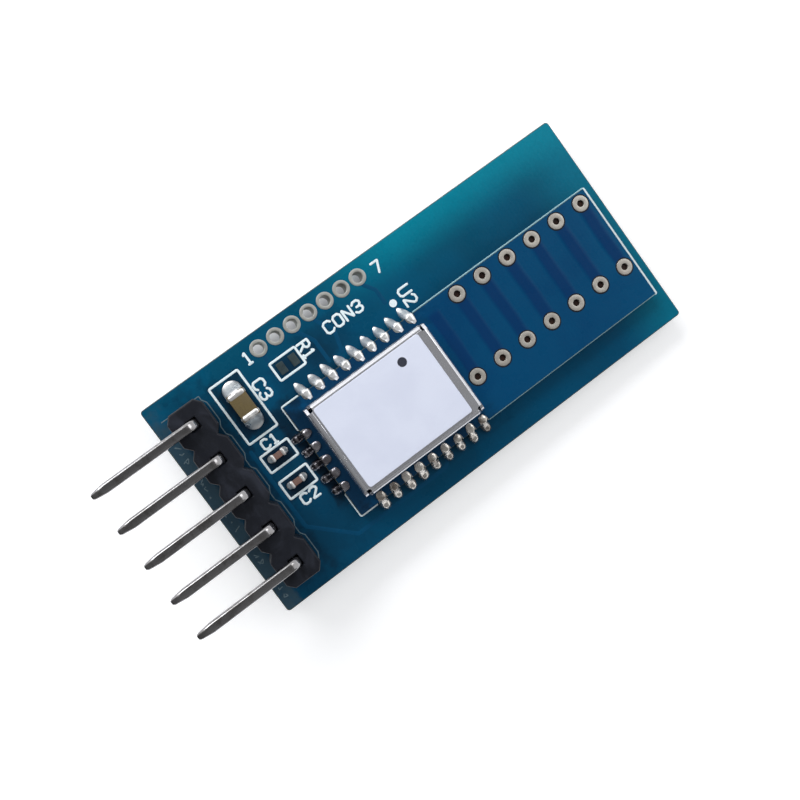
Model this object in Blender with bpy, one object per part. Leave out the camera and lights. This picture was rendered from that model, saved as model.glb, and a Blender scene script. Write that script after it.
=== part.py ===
"""Bluetooth module on a carrier board with a bent five-pin header.

The origin is the centre of the carrier board's underside. +X runs along the board, away from the
header, +Y across it and +Z up. Sizes are in metres, written as millimetres times MM.
"""

import math

import bmesh
import bpy
from mathutils import Matrix, Vector

MM = 0.001

# Clearances between pieces
SEAT_GAP = 0.02 * MM
PIN_FIT = 0.02 * MM
SOLDER_STANDOFF = 0.05 * MM
MASK_DEPTH = 0.03 * MM
MASK_MARGIN = 0.10 * MM

# Boards
BOARD_THICK = 1.6 * MM
BOARD_CORNER = 0.25 * MM
HEADER_ZONE = 7.1 * MM
ANTENNA_END_INSET = 0.95 * MM
MODULE_LENGTH = 23.7 * MM
MODULE_WIDTH = 8.21 * MM
MODULE_THICK = 0.8 * MM
MODULE_SIDE_INSET = 2.16 * MM
HOLE_STRIP_WIDTH = 4.87 * MM

# Header strip
PIN_COUNT = 5
PIN_PITCH = 2.54 * MM
PIN_SIDE = 0.64 * MM
PIN_REACH = 7.05 * MM
PIN_BEND_INNER = 0.18 * MM
PIN_TAIL = 1.1 * MM
PIN_TIP_LENGTH = 1.3 * MM
PIN_TIP_SIDE = 0.36 * MM
PIN_NOSE = 0.12 * MM
PIN_NOSE_SIDE = 0.2 * MM
TAIL_TIP_LENGTH = 0.3 * MM
TAIL_TIP_SIDE = 0.45 * MM
HEADER_INSET = 2.2 * MM
HOUSING_DEPTH = 2.5 * MM
HOUSING_HEIGHT = 2.5 * MM
HOUSING_NOTCH = 0.38 * MM
HOUSING_NOTCH_WIDTH = 0.9 * MM
HOUSING_CHAMFER = 0.12 * MM
HOUSING_FOOT = 0.2 * MM
HOUSING_CHANNEL = 1.3 * MM
HEADER_HOLE_CLEARANCE = 0.1 * MM
HEADER_PAD_RING = 0.32 * MM
HEADER_FILLET_HEIGHT = 0.7 * MM

# Row of small plated holes beside the module
ROW_COUNT = 7
ROW_PITCH = 1.27 * MM
ROW_HOLE = 0.75 * MM
ROW_RING = 0.18 * MM
ROW_START = 8.11 * MM
ROW_EDGE_INSET = 1.04 * MM

# Castellated edge of the module and its solder joints
EDGE_PITCH = 1.0 * MM
EDGE_RADIUS = 0.25 * MM
EDGE_START = 1.66 * MM
EDGE_LONG_COUNT = 9
EDGE_END_COUNT = 5
JOINT_WIDTH = 0.62 * MM
JOINT_SPREAD = 0.78 * MM
JOINT_RISE = 0.15 * MM
JOINT_CAN_CLEARANCE = 0.2 * MM
JOINT_TOE_ANGLE = 25
JOINT_EDGE_ANGLE = 140

# Aerial's plated holes in the module's board
AERIAL_PITCH = 2.0 * MM
AERIAL_HOLE = 0.45 * MM
AERIAL_RING = 0.3 * MM
AERIAL_END_INSET = 0.7 * MM
AERIAL_UPPER_INSET = 0.67 * MM
AERIAL_ROW_SPACING = 4.95 * MM
AERIAL_CAN_CLEARANCE = 0.6 * MM

# Shield can and label
CAN_LENGTH = 9.1 * MM
CAN_HEIGHT = 1.5 * MM
CAN_SHEET = 0.2 * MM
CAN_BEND = 0.3 * MM
CAN_END_MARGIN = 0.85 * MM
CAN_SIDE_MARGIN = 0.78 * MM
CAN_CORNER_HOLE = 0.26 * MM
CAN_CORNER_INSET = 0.18 * MM
CAN_SEAM = 0.1 * MM
CAN_ARCH_HEIGHT = 0.35 * MM
CAN_ARCH_WIDTH = 2.4 * MM
CAN_FILLET_REACH = 0.22 * MM
CAN_FILLET_HEIGHT = 0.4 * MM
LABEL_THICK = 0.08 * MM
LABEL_CORNER = 0.25 * MM
LABEL_HEADER_MARGIN = 0.45 * MM
LABEL_AERIAL_MARGIN = 0.78 * MM
LABEL_LOWER_MARGIN = 0.47 * MM
LABEL_UPPER_MARGIN = 0.33 * MM

# Chip capacitors on the carrier board
BIG_LENGTH = 2.0 * MM
BIG_WIDTH = 1.3 * MM
BIG_HEIGHT = 1.2 * MM
BIG_TERMINAL = 0.5 * MM
BIG_FILLET = 0.7 * MM
BIG_ALONG = 5.28 * MM
BIG_ACROSS = 11.93 * MM
SMALL_LENGTH = 1.0 * MM
SMALL_WIDTH = 0.5 * MM
SMALL_HEIGHT = 0.5 * MM
SMALL_TERMINAL = 0.25 * MM
SMALL_FILLET = 0.2 * MM
SMALL_ALONG = 5.18 * MM
SMALL_UPPER_ACROSS = 8.2 * MM
SMALL_LOWER_ACROSS = 6.2 * MM
TERMINAL_WALL = 0.04 * MM

# Parts under the can
WALL_CLEARANCE = 0.55 * MM
RADIO_SIDE = 4.0 * MM
RADIO_HEIGHT = 0.85 * MM
CRYSTAL_LENGTH = 1.6 * MM
CRYSTAL_WIDTH = 1.2 * MM
CRYSTAL_BASE = 0.3 * MM
CRYSTAL_LID = 0.2 * MM
CRYSTAL_LID_INSET = 0.12 * MM
CRYSTAL_OFFSET = 1.45 * MM
MATCH_LENGTH = 1.0 * MM
MATCH_WIDTH = 0.5 * MM
MATCH_HEIGHT = 0.5 * MM
MATCH_OFFSET = 0.4 * MM
PACKAGE_BEVEL = 0.04 * MM

# Shape of the solder, as shares of its own width and height
SOLDER_CROWN = 0.6
SOLDER_SHOULDER = 0.6
SOLDER_HOLLOW = 1.8
SOLDER_TOE = 0.1
CHIP_SOLDER_CLIMB = 0.72
CHIP_SOLDER_TAPER = 0.25
JOINT_TOE_WIDTH = 0.55
JOINT_TIP_WIDTH = 0.25
CAN_FILLET_WAIST = 0.38
CAN_FILLET_END = 0.75
CAN_FILLET_FULL = 0.2

# Facets
HOLE_SIDES = 16
HALF_HOLE_STEPS = 8
BEND_STEPS = 5
FILLET_STEPS = 4

# Sizes that follow from those above
BOARD_LENGTH = HEADER_ZONE + MODULE_LENGTH + ANTENNA_END_INSET
BOARD_WIDTH = MODULE_SIDE_INSET + MODULE_WIDTH + HOLE_STRIP_WIDTH
MODULE_BASE = BOARD_THICK + SOLDER_STANDOFF
MODULE_TOP = MODULE_BASE + MODULE_THICK
PIN_SLOT = PIN_SIDE + 2 * PIN_FIT
PIN_HOLE_RADIUS = PIN_SIDE / math.sqrt(2) + HEADER_HOLE_CLEARANCE
HEADER_PAD_RADIUS = PIN_HOLE_RADIUS + HEADER_PAD_RING
HOUSING_BASE = BOARD_THICK + SEAT_GAP
HOUSING_TOP = HOUSING_BASE + HOUSING_HEIGHT
CAN_WIDTH = MODULE_WIDTH - 2 * CAN_SIDE_MARGIN
CAN_BASE = MODULE_TOP + SEAT_GAP
CAN_TOP = CAN_BASE + CAN_HEIGHT
CAN_NEAR = HEADER_ZONE + CAN_END_MARGIN
CAN_FAR = CAN_NEAR + CAN_LENGTH
MODULE_MIDDLE = MODULE_SIDE_INSET + MODULE_WIDTH / 2
JOINT_INNER = CAN_SIDE_MARGIN - JOINT_CAN_CLEARANCE


def spot(along, across, up=0.0):
    """The point this far from the header end, from the lower long edge and above the underside."""
    return Vector((along - BOARD_LENGTH / 2, across - BOARD_WIDTH / 2, up))


def clear_scene():
    """Remove every object of the scene."""
    for item in list(bpy.data.objects):
        bpy.data.objects.remove(item, do_unlink=True)


def finish(name, colour, roughness, metallic=0.0):
    """A plain material of one colour, given in sRGB parts of 255."""
    material = bpy.data.materials.new(name)
    material.use_nodes = True
    shader = material.node_tree.nodes["Principled BSDF"]
    linear = [((part / 255 + 0.055) / 1.055) ** 2.4 for part in colour]
    shader.inputs["Base Color"].default_value = (*linear, 1.0)
    shader.inputs["Roughness"].default_value = roughness
    shader.inputs["Metallic"].default_value = metallic
    material.diffuse_color = (*linear, 1.0)
    return material


def piece(name, mesh, material, place=(0.0, 0.0, 0.0), turn=0.0):
    """An object made of the mesh, turned about Z and put in its place."""
    if not mesh.materials:
        mesh.materials.append(material)
    item = bpy.data.objects.new(name, mesh)
    item.location = place
    item.rotation_euler = (0.0, 0.0, turn)
    bpy.context.scene.collection.objects.link(item)
    return item


def mesh_of(name, shape):
    """The bmesh as a mesh, with its faces pointing out."""
    bmesh.ops.recalc_face_normals(shape, faces=shape.faces)
    mesh = bpy.data.meshes.new(name)
    shape.to_mesh(mesh)
    shape.free()
    return mesh


def lofted(name, loops):
    """A closed mesh through loops of equally many points, capped at both ends."""
    shape = bmesh.new()
    rings = [[shape.verts.new(point) for point in loop] for loop in loops]
    for low, high in zip(rings, rings[1:]):
        for here in range(len(low)):
            there = (here + 1) % len(low)
            shape.faces.new((low[here], low[there], high[there], high[here]))
    shape.faces.new(reversed(rings[0]))
    shape.faces.new(rings[-1])
    return mesh_of(name, shape)


def slab(name, outline, base, top):
    """A flat slab with this outline."""
    return lofted(name, [[(x, y, level) for x, y in outline] for level in (base, top)])


def block(name, length, width, base, top, bevel=0.0):
    """A box centred on the Z axis, with all its edges bevelled if a bevel is given."""
    half_x = length / 2
    half_y = width / 2
    outline = [(-half_x, -half_y), (half_x, -half_y), (half_x, half_y), (-half_x, half_y)]
    mesh = slab(name, outline, base, top)
    if bevel:
        shape = bmesh.new()
        shape.from_mesh(mesh)
        bmesh.ops.bevel(shape, geom=shape.edges[:], offset=bevel, segments=1, affect="EDGES")
        shape.to_mesh(mesh)
        shape.free()
    return mesh


def arc(centre, radius, start, end, steps):
    """Points along an arc, from the start angle to the end angle, both in degrees."""
    angles = [math.radians(start + (end - start) * step / steps) for step in range(steps + 1)]
    return [(centre[0] + radius * math.cos(a), centre[1] + radius * math.sin(a)) for a in angles]


def rounded_rectangle(length, width, radius, steps=3):
    """The outline of a rectangle with rounded corners, centred on the origin."""
    outline = []
    for index, (side_x, side_y) in enumerate(((1, 1), (-1, 1), (-1, -1), (1, -1))):
        centre = (side_x * (length / 2 - radius), side_y * (width / 2 - radius))
        outline += arc(centre, radius, 90 * index, 90 * index + 90, steps)
    return outline


def turned(name, profile, sides=HOLE_SIDES):
    """A solid of revolution about Z: its profile is a closed loop of radius and height."""
    shape = bmesh.new()
    middle = {}
    rings = []
    for side in range(sides):
        angle = 2 * math.pi * side / sides
        ring = []
        for index, (radius, height) in enumerate(profile):
            if radius == 0.0 and index in middle:
                ring.append(middle[index])
                continue
            vertex = shape.verts.new((radius * math.cos(angle), radius * math.sin(angle), height))
            if radius == 0.0:
                middle[index] = vertex
            ring.append(vertex)
        rings.append(ring)
    for side in range(sides):
        ring, following = rings[side], rings[(side + 1) % sides]
        for here in range(len(profile)):
            there = (here + 1) % len(profile)
            corners = dict.fromkeys((ring[here], ring[there], following[there], following[here]))
            if len(corners) > 2:
                shape.faces.new(list(corners))
    return mesh_of(name, shape)


def joined(name, meshes_and_places):
    """One mesh that holds a copy of each mesh, moved to its place."""
    shape = bmesh.new()
    for mesh, place in meshes_and_places:
        start = len(shape.verts)
        shape.from_mesh(mesh)
        shape.verts.ensure_lookup_table()
        bmesh.ops.translate(shape, verts=shape.verts[start:], vec=Vector(place))
    return mesh_of(name, shape)


def cutter(name, mesh):
    """A hidden object for cutting others."""
    item = bpy.data.objects.new(name, mesh)
    item.hide_render = True
    item.display_type = "WIRE"
    bpy.context.scene.collection.objects.link(item)
    return item


def cut(item, *meshes):
    """Cut each mesh, given in the item's own axes, out of the item."""
    for mesh in meshes:
        tool = cutter(f"{mesh.name}_cutter", mesh)
        tool.matrix_world = item.matrix_basis
        change = item.modifiers.new(mesh.name, "BOOLEAN")
        change.operation = "DIFFERENCE"
        change.solver = "EXACT"
        change.object = tool


def settled(item):
    """The item's mesh with its modifiers applied, and the item and its cutters removed."""
    bpy.context.view_layer.update()
    evaluated = item.evaluated_get(bpy.context.evaluated_depsgraph_get())
    mesh = bpy.data.meshes.new_from_object(evaluated)
    tools = [change.object for change in item.modifiers]
    for leftover in [item, *tools]:
        bpy.data.objects.remove(leftover, do_unlink=True)
    return mesh


def smooth(mesh, degrees=35):
    """Shade the mesh smooth, with edges sharper than the angle kept."""
    mesh.shade_smooth()
    mesh.set_sharp_from_angle(angle=math.radians(degrees))


def spool_half(hole_radius, ring, face, outward, has_ring):
    """Half the profile of a plated hole's cut, from outside the face down to the hole's wall."""
    beyond = face + outward * BOARD_THICK
    if not has_ring:
        return [(0.0, beyond), (hole_radius, beyond)]
    pad_radius = hole_radius + ring
    floor = face - outward * MASK_DEPTH
    return [(0.0, beyond), (pad_radius, beyond), (pad_radius, floor), (hole_radius, floor)]


def spool(name, hole_radius, ring, base, top, faces):
    """The cut for a plated hole, with a shallow ring in the named faces, where the mask stops."""
    under = spool_half(hole_radius, ring, base, -1, "under" in faces)
    over = spool_half(hole_radius, ring, top, 1, "over" in faces)
    return turned(name, under + over[::-1])


def pin_places():
    """Where the header's pins pass through the board."""
    first = BOARD_WIDTH / 2 - PIN_PITCH * (PIN_COUNT - 1) / 2
    return [spot(HEADER_INSET, first + PIN_PITCH * index) for index in range(PIN_COUNT)]


def carrier_board(material):
    """The carrier board, with the header's holes and the row of small plated holes."""
    outline = rounded_rectangle(BOARD_LENGTH, BOARD_WIDTH, BOARD_CORNER)
    item = piece("carrier_board", slab("carrier_board", outline, 0.0, BOARD_THICK), material)
    pin_ring = HEADER_PAD_RING + MASK_MARGIN
    pin_spool = spool("pin_spool", PIN_HOLE_RADIUS, pin_ring, 0.0, BOARD_THICK, ("under",))
    row_spool = spool("row_spool", ROW_HOLE / 2, ROW_RING, 0.0, BOARD_THICK, ("under", "over"))
    across = BOARD_WIDTH - ROW_EDGE_INSET
    row = [(row_spool, spot(ROW_START + ROW_PITCH * index, across)) for index in range(ROW_COUNT)]
    header = [(pin_spool, place) for place in pin_places()]
    cut(item, joined("board_holes", header + row))
    smooth(item.data)


def housing_outline(inset):
    """The header strip seen from above: straight faces with a notch between positions."""
    face = HOUSING_DEPTH / 2 - inset
    half_notch = (HOUSING_NOTCH_WIDTH + inset) / 2
    half_length = PIN_PITCH * PIN_COUNT / 2
    side = [(face - HOUSING_NOTCH, inset - half_length)]
    for index in range(PIN_COUNT):
        low = PIN_PITCH * index - half_length
        high = low + PIN_PITCH
        side += [(face, low + half_notch), (face, high - half_notch), (face - HOUSING_NOTCH, high)]
    side[-1] = (face - HOUSING_NOTCH, half_length - inset)
    return side + [(-x, y) for x, y in reversed(side)]


def header_housing(material):
    """The moulded strip, with square holes for the pins and a channel under it between its two feet."""
    levels = (
        (HOUSING_BASE, 0.0),
        (HOUSING_TOP - HOUSING_CHAMFER, 0.0),
        (HOUSING_TOP, HOUSING_CHAMFER),
    )
    loops = [[(x, y, level) for x, y in housing_outline(inset)] for level, inset in levels]
    place = spot(HEADER_INSET, BOARD_WIDTH / 2)
    item = piece("header_housing", lofted("header_housing", loops), material, place)
    bore = block("bore", PIN_SLOT, PIN_SLOT, 0.0, HOUSING_TOP + HOUSING_HEIGHT)
    bores = joined("pin_bores", [(bore, pin_place - place) for pin_place in pin_places()])
    beyond = 2 * PIN_PITCH * PIN_COUNT
    channel = block("foot_channel", HOUSING_CHANNEL, beyond, 0.0, HOUSING_BASE + HOUSING_FOOT)
    cut(item, channel, bores)


def pin_stations():
    """The pin's path: x, height, how far it has bent over in degrees, and its side."""
    radius = PIN_BEND_INNER + PIN_SIDE / 2
    bend_start = HOUSING_TOP + SEAT_GAP
    height = bend_start + radius
    stations = [(0.0, -PIN_TAIL, 0, TAIL_TIP_SIDE), (0.0, TAIL_TIP_LENGTH - PIN_TAIL, 0, PIN_SIDE)]
    for step in range(BEND_STEPS + 1):
        bent = 90 * step / BEND_STEPS
        x = radius * math.cos(math.radians(bent)) - radius
        z = bend_start + radius * math.sin(math.radians(bent))
        stations.append((x, z, bent, PIN_SIDE))
    stations.append((PIN_TIP_LENGTH - PIN_REACH, height, 90, PIN_SIDE))
    stations.append((PIN_NOSE - PIN_REACH, height, 90, PIN_TIP_SIDE))
    stations.append((-PIN_REACH, height, 90, PIN_NOSE_SIDE))
    return stations


def pin_mesh():
    """A square pin swept along its path, straight up and then over towards the board's end."""
    loops = []
    for x, z, bent, side in pin_stations():
        middle = Vector((x, 0.0, z))
        outer = Vector((math.cos(math.radians(bent)), 0.0, math.sin(math.radians(bent)))) * side / 2
        across = Vector((0.0, side / 2, 0.0))
        corners = (outer + across, across - outer, -outer - across, outer - across)
        loops.append([middle + corner for corner in corners])
    return lofted("header_pin", loops)


def pin_joint_mesh():
    """The solder of one pin: it fills the plated hole and draws up to a hollow cone under the board."""
    radius = PIN_HOLE_RADIUS - PIN_FIT
    foot = MASK_DEPTH - SEAT_GAP
    neck = PIN_SIDE / math.sqrt(2) + 2 * PIN_FIT
    profile = [(0.0, BOARD_THICK - SEAT_GAP), (radius, BOARD_THICK - SEAT_GAP), (radius, foot)]
    for step in range(FILLET_STEPS + 1):
        share = step / FILLET_STEPS
        width = neck + (HEADER_PAD_RADIUS - neck) * (1 - share) ** 2
        profile.append((width, foot - HEADER_FILLET_HEIGHT * share))
    profile.append((0.0, foot - HEADER_FILLET_HEIGHT))
    return turned("pin_joint", profile)


def header_pins(pin_material, solder_material):
    """The five pins and their solder joints."""
    pin = pin_mesh()
    blank = cutter("pin_joint_blank", pin_joint_mesh())
    cut(blank, block("pin_slot", PIN_SLOT, PIN_SLOT, -2 * PIN_TAIL, 2 * BOARD_THICK))
    joint = settled(blank)
    smooth(joint)
    for index, place in enumerate(pin_places(), start=1):
        piece(f"header_pin_{index}", pin, pin_material, place)
        piece(f"header_joint_{index}", joint, solder_material, place)


def notched_edge(start, end, centres):
    """One edge of the module's board, with a half-round notch at each distance along it."""
    start, end = Vector(start), Vector(end)
    ahead = (end - start).normalized()
    inward = Vector((-ahead.y, ahead.x))
    points = [start]
    for centre in centres:
        for x, y in arc((0.0, 0.0), EDGE_RADIUS, 180, 0, HALF_HOLE_STEPS):
            points.append(start + ahead * (centre + x) + inward * y)
    return [(point.x, point.y) for point in points]


def long_edge_centres():
    """How far the joints on a long edge lie from the module's header end."""
    return [EDGE_START + EDGE_PITCH * index for index in range(EDGE_LONG_COUNT)]


def end_edge_centres():
    """How far the joints on the module's header end lie from its lower edge."""
    first = MODULE_WIDTH / 2 - EDGE_PITCH * (EDGE_END_COUNT - 1) / 2
    return [first + EDGE_PITCH * index for index in range(EDGE_END_COUNT)]


def aerial_places():
    """The aerial's plated holes: a lower row, and an upper row that starts one hole later."""
    last = HEADER_ZONE + MODULE_LENGTH - AERIAL_END_INSET
    first = CAN_FAR + AERIAL_CAN_CLEARANCE
    count = int((last - first) / AERIAL_PITCH + 1e-6) + 1
    upper = MODULE_SIDE_INSET + MODULE_WIDTH - AERIAL_UPPER_INSET
    places = []
    for index in range(count):
        along = last - AERIAL_PITCH * index
        places.append(spot(along, upper - AERIAL_ROW_SPACING))
        if index < count - 1:
            places.append(spot(along, upper))
    return places


def module_board(material):
    """The module's own board, with its castellated edges and the aerial's holes."""
    low = spot(HEADER_ZONE, MODULE_SIDE_INSET)
    high = spot(HEADER_ZONE + MODULE_LENGTH, MODULE_SIDE_INSET + MODULE_WIDTH)
    lower = notched_edge((low.x, low.y), (high.x, low.y), long_edge_centres())
    far_end = notched_edge((high.x, low.y), (high.x, high.y), [])
    upper_centres = [MODULE_LENGTH - centre for centre in reversed(long_edge_centres())]
    upper = notched_edge((high.x, high.y), (low.x, high.y), upper_centres)
    near_centres = [MODULE_WIDTH - centre for centre in reversed(end_edge_centres())]
    near_end = notched_edge((low.x, high.y), (low.x, low.y), near_centres)
    outline = lower + far_end + upper + near_end
    item = piece("module_board", slab("module_board", outline, MODULE_BASE, MODULE_TOP), material)
    hole = spool("aerial_spool", AERIAL_HOLE / 2, AERIAL_RING, MODULE_BASE, MODULE_TOP, ("over",))
    cut(item, joined("aerial_holes", [(hole, place) for place in aerial_places()]))
    smooth(item.data)


def solder_section(out, half, base, shoulder, top):
    """A cross-section of solder at this distance out: flat base, upright sides and rounded crown."""
    crown = half * SOLDER_CROWN
    right = [(out, half, base), (out, half, shoulder), (out, crown, top)]
    return right + [(x, -y, z) for x, y, z in reversed(right)]


def joint_sections():
    """Cross-sections of an edge joint: distance out from the module's edge, top and width."""
    drop = MODULE_TOP - BOARD_THICK
    foot = BOARD_THICK + SEAT_GAP + JOINT_RISE * SOLDER_TOE
    sections = []
    for step in range(FILLET_STEPS + 1):
        share = step / FILLET_STEPS
        swell = math.sin(math.radians(JOINT_TOE_ANGLE + (JOINT_EDGE_ANGLE - JOINT_TOE_ANGLE) * share))
        spread = JOINT_TOE_WIDTH + (1 - JOINT_TOE_WIDTH) * math.sqrt(share)
        top = MODULE_TOP + JOINT_RISE * swell
        sections.append((JOINT_INNER * (share - 1), top, JOINT_WIDTH * spread))
    for step in range(1, FILLET_STEPS + 1):
        share = step / FILLET_STEPS
        top = foot + drop * (1 - share) ** SOLDER_HOLLOW
        spread = 1 - (1 - JOINT_TIP_WIDTH) * share ** 2
        sections.append((JOINT_SPREAD * share, top, JOINT_WIDTH * spread))
    return sections


def joint_blank():
    """The solder of an edge joint before the module's board is cut out of it."""
    base = BOARD_THICK + SEAT_GAP
    loops = []
    for out, top, width in joint_sections():
        floor = base if out > 0 else MODULE_TOP
        shoulder = floor + (top - floor) * SOLDER_SHOULDER
        loops.append(solder_section(out, width / 2, base, shoulder, top))
    return lofted("edge_joint", loops)


def joint_cut():
    """The module's board round one half-round notch, grown by the fit, in the joint's own axes."""
    radius = EDGE_RADIUS - SEAT_GAP
    reach = EDGE_PITCH
    notch = arc((0.0, 0.0), radius, -90, -270, HALF_HOLE_STEPS)
    outline = [(-reach, -reach), (SEAT_GAP, -reach), (SEAT_GAP, -radius)]
    outline += notch + [(SEAT_GAP, radius), (SEAT_GAP, reach), (-reach, reach)]
    return slab("board_edge", outline, 0.0, MODULE_TOP + SEAT_GAP)


def edge_joints(material):
    """The solder joints along the module's two long edges and its header end."""
    blank = cutter("edge_joint_blank", joint_blank())
    cut(blank, joint_cut())
    mesh = settled(blank)
    smooth(mesh, 50)
    upper_edge = MODULE_SIDE_INSET + MODULE_WIDTH
    for index, centre in enumerate(long_edge_centres(), start=1):
        along = HEADER_ZONE + centre
        piece(f"edge_joint_upper_{index}", mesh, material, spot(along, upper_edge), math.pi / 2)
        piece(f"edge_joint_lower_{index}", mesh, material, spot(along, MODULE_SIDE_INSET), -math.pi / 2)
    for index, centre in enumerate(end_edge_centres(), start=1):
        place = spot(HEADER_ZONE, MODULE_SIDE_INSET + centre)
        piece(f"edge_joint_end_{index}", mesh, material, place, math.pi)


def can_block(name, length, width, base, top, bend):
    """A box whose four top edges are bent round."""
    mesh = block(name, length, width, base, top)
    shape = bmesh.new()
    shape.from_mesh(mesh)
    rim = [edge for edge in shape.edges if min(vertex.co.z for vertex in edge.verts) > (base + top) / 2]
    bmesh.ops.bevel(shape, geom=rim, offset=bend, segments=3, profile=0.5, affect="EDGES")
    shape.to_mesh(mesh)
    shape.free()
    return mesh


def corner_cuts():
    """At each corner of the can: a round relief through its top, and the seam below it."""
    reliefs, seams = [], []
    for side_x in (-1, 1):
        for side_y in (-1, 1):
            corner = Vector((side_x * CAN_LENGTH / 2, side_y * CAN_WIDTH / 2, 0.0))
            inset = Vector((side_x, side_y, 0.0)) * CAN_CORNER_INSET
            profile = [
                (0.0, CAN_HEIGHT / 2),
                (CAN_CORNER_HOLE, CAN_HEIGHT / 2),
                (CAN_CORNER_HOLE, 2 * CAN_HEIGHT),
                (0.0, 2 * CAN_HEIGHT),
            ]
            reliefs.append((turned("corner_relief", profile), corner - inset))
            seam = block("seam", 3 * CAN_BEND, CAN_SEAM, -CAN_HEIGHT, CAN_HEIGHT - CAN_BEND)
            seam.transform(Matrix.Rotation(math.atan2(side_y, side_x), 4, "Z"))
            seams.append((seam, corner))
    return joined("corner_reliefs", reliefs), joined("corner_seams", seams)


def shield_can(material):
    """The can: one sheet folded down on four sides, with an arch for the aerial's feed."""
    blank = can_block("shield_can", CAN_LENGTH, CAN_WIDTH, 0.0, CAN_HEIGHT, CAN_BEND)
    place = spot((CAN_NEAR + CAN_FAR) / 2, MODULE_MIDDLE, CAN_BASE)
    item = piece("shield_can", blank, material, place)
    inner_length = CAN_LENGTH - 2 * CAN_SHEET
    inner_width = CAN_WIDTH - 2 * CAN_SHEET
    inner_top = CAN_HEIGHT - CAN_SHEET
    inner_bend = CAN_BEND - CAN_SHEET
    hollow = can_block("hollow", inner_length, inner_width, -CAN_HEIGHT, inner_top, inner_bend)
    arch = block("arch", 2 * CAN_SHEET + CAN_BEND, CAN_ARCH_WIDTH, -CAN_HEIGHT, CAN_ARCH_HEIGHT)
    arch.transform(Matrix.Translation((CAN_LENGTH / 2, 0.0, 0.0)))
    cut(item, hollow, *corner_cuts(), arch)
    smooth(blank, 40)


def can_fillets(material):
    """Solder along the foot of the can's wall on the aerial's side, each side of the arch."""
    length = (CAN_WIDTH - CAN_ARCH_WIDTH) / 2 - CAN_BEND
    loops = []
    ends = ((0.0, CAN_FILLET_END), (CAN_FILLET_FULL, 1.0))
    far_ends = [(1.0 - share, fullness) for share, fullness in reversed(ends)]
    for share, fullness in [*ends, *far_ends]:
        height = CAN_FILLET_HEIGHT * fullness
        reach = CAN_FILLET_REACH * fullness
        waist = (reach * CAN_FILLET_WAIST, height * CAN_FILLET_WAIST)
        profile = [(0.0, 0.0), (reach, 0.0), waist, (0.0, height)]
        loops.append([(out, length * share, up) for out, up in profile])
    mesh = lofted("can_fillet", loops)
    along = CAN_FAR + SEAT_GAP
    for name, start in (("lower", -CAN_WIDTH / 2 + CAN_BEND), ("upper", CAN_ARCH_WIDTH / 2)):
        piece(f"can_fillet_{name}", mesh, material, spot(along, MODULE_MIDDLE + start, CAN_BASE))


def can_label(material):
    """The white label on the can, bare but for its own thickness."""
    length = CAN_LENGTH - LABEL_HEADER_MARGIN - LABEL_AERIAL_MARGIN
    width = CAN_WIDTH - LABEL_LOWER_MARGIN - LABEL_UPPER_MARGIN
    along = CAN_NEAR + LABEL_HEADER_MARGIN + length / 2
    across = MODULE_SIDE_INSET + CAN_SIDE_MARGIN + LABEL_LOWER_MARGIN + width / 2
    outline = rounded_rectangle(length, width, LABEL_CORNER)
    mesh = slab("can_label", outline, 0.0, LABEL_THICK)
    piece("can_label", mesh, material, spot(along, across, CAN_TOP + SEAT_GAP))


def terminal_mesh(name, length, width, height, terminal):
    """A metal end of a chip capacitor: a cap over the end at +X, hollowed for the ceramic body."""
    wall = TERMINAL_WALL
    solid = block(f"{name}_terminal", terminal, width, 0.0, height, wall)
    item = cutter(f"{name}_terminal", solid)
    core = block(f"{name}_core", length, width - 2 * wall, wall, height - wall)
    core.transform(Matrix.Translation((terminal / 2 - wall - length / 2, 0.0, 0.0)))
    cut(item, core)
    mesh = settled(item)
    mesh.transform(Matrix.Translation((length / 2 - terminal / 2, 0.0, 0.0)))
    return mesh


def fillet_mesh(name, length, width, height, reach):
    """Solder that climbs the end of a chip at +X, hollow in profile and narrower at its toe."""
    loops = []
    for step in range(FILLET_STEPS + 1):
        share = step / FILLET_STEPS
        climb = (CHIP_SOLDER_CLIMB - SOLDER_TOE) * (1 - share) ** SOLDER_HOLLOW
        top = height * (SOLDER_TOE + climb)
        half = width / 2 * (1 - CHIP_SOLDER_TAPER * share ** 2)
        out = length / 2 + SEAT_GAP + reach * share
        loops.append(solder_section(out, half, 0.0, top * SOLDER_SHOULDER, top))
    return lofted(f"{name}_fillet", loops)


def chip_meshes(name, length, width, height, terminal, reach):
    """The meshes of one chip capacitor: ceramic body, metal end and solder fillet."""
    inner = TERMINAL_WALL + SEAT_GAP
    body = block(f"{name}_body", length - 2 * inner, width - 2 * inner, inner, height - inner)
    end = terminal_mesh(name, length, width, height, terminal)
    return body, end, fillet_mesh(name, length, width, height, reach)


def place_chip(name, meshes, materials, place, turn):
    """One chip capacitor on the carrier board, as five pieces."""
    body, end, fillet = meshes
    ceramic, metal, solder = materials
    piece(f"{name}_body", body, ceramic, place, turn)
    for side, extra in (("a", 0.0), ("b", math.pi)):
        piece(f"{name}_end_{side}", end, metal, place, turn + extra)
        piece(f"{name}_fillet_{side}", fillet, solder, place, turn + extra)


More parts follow.
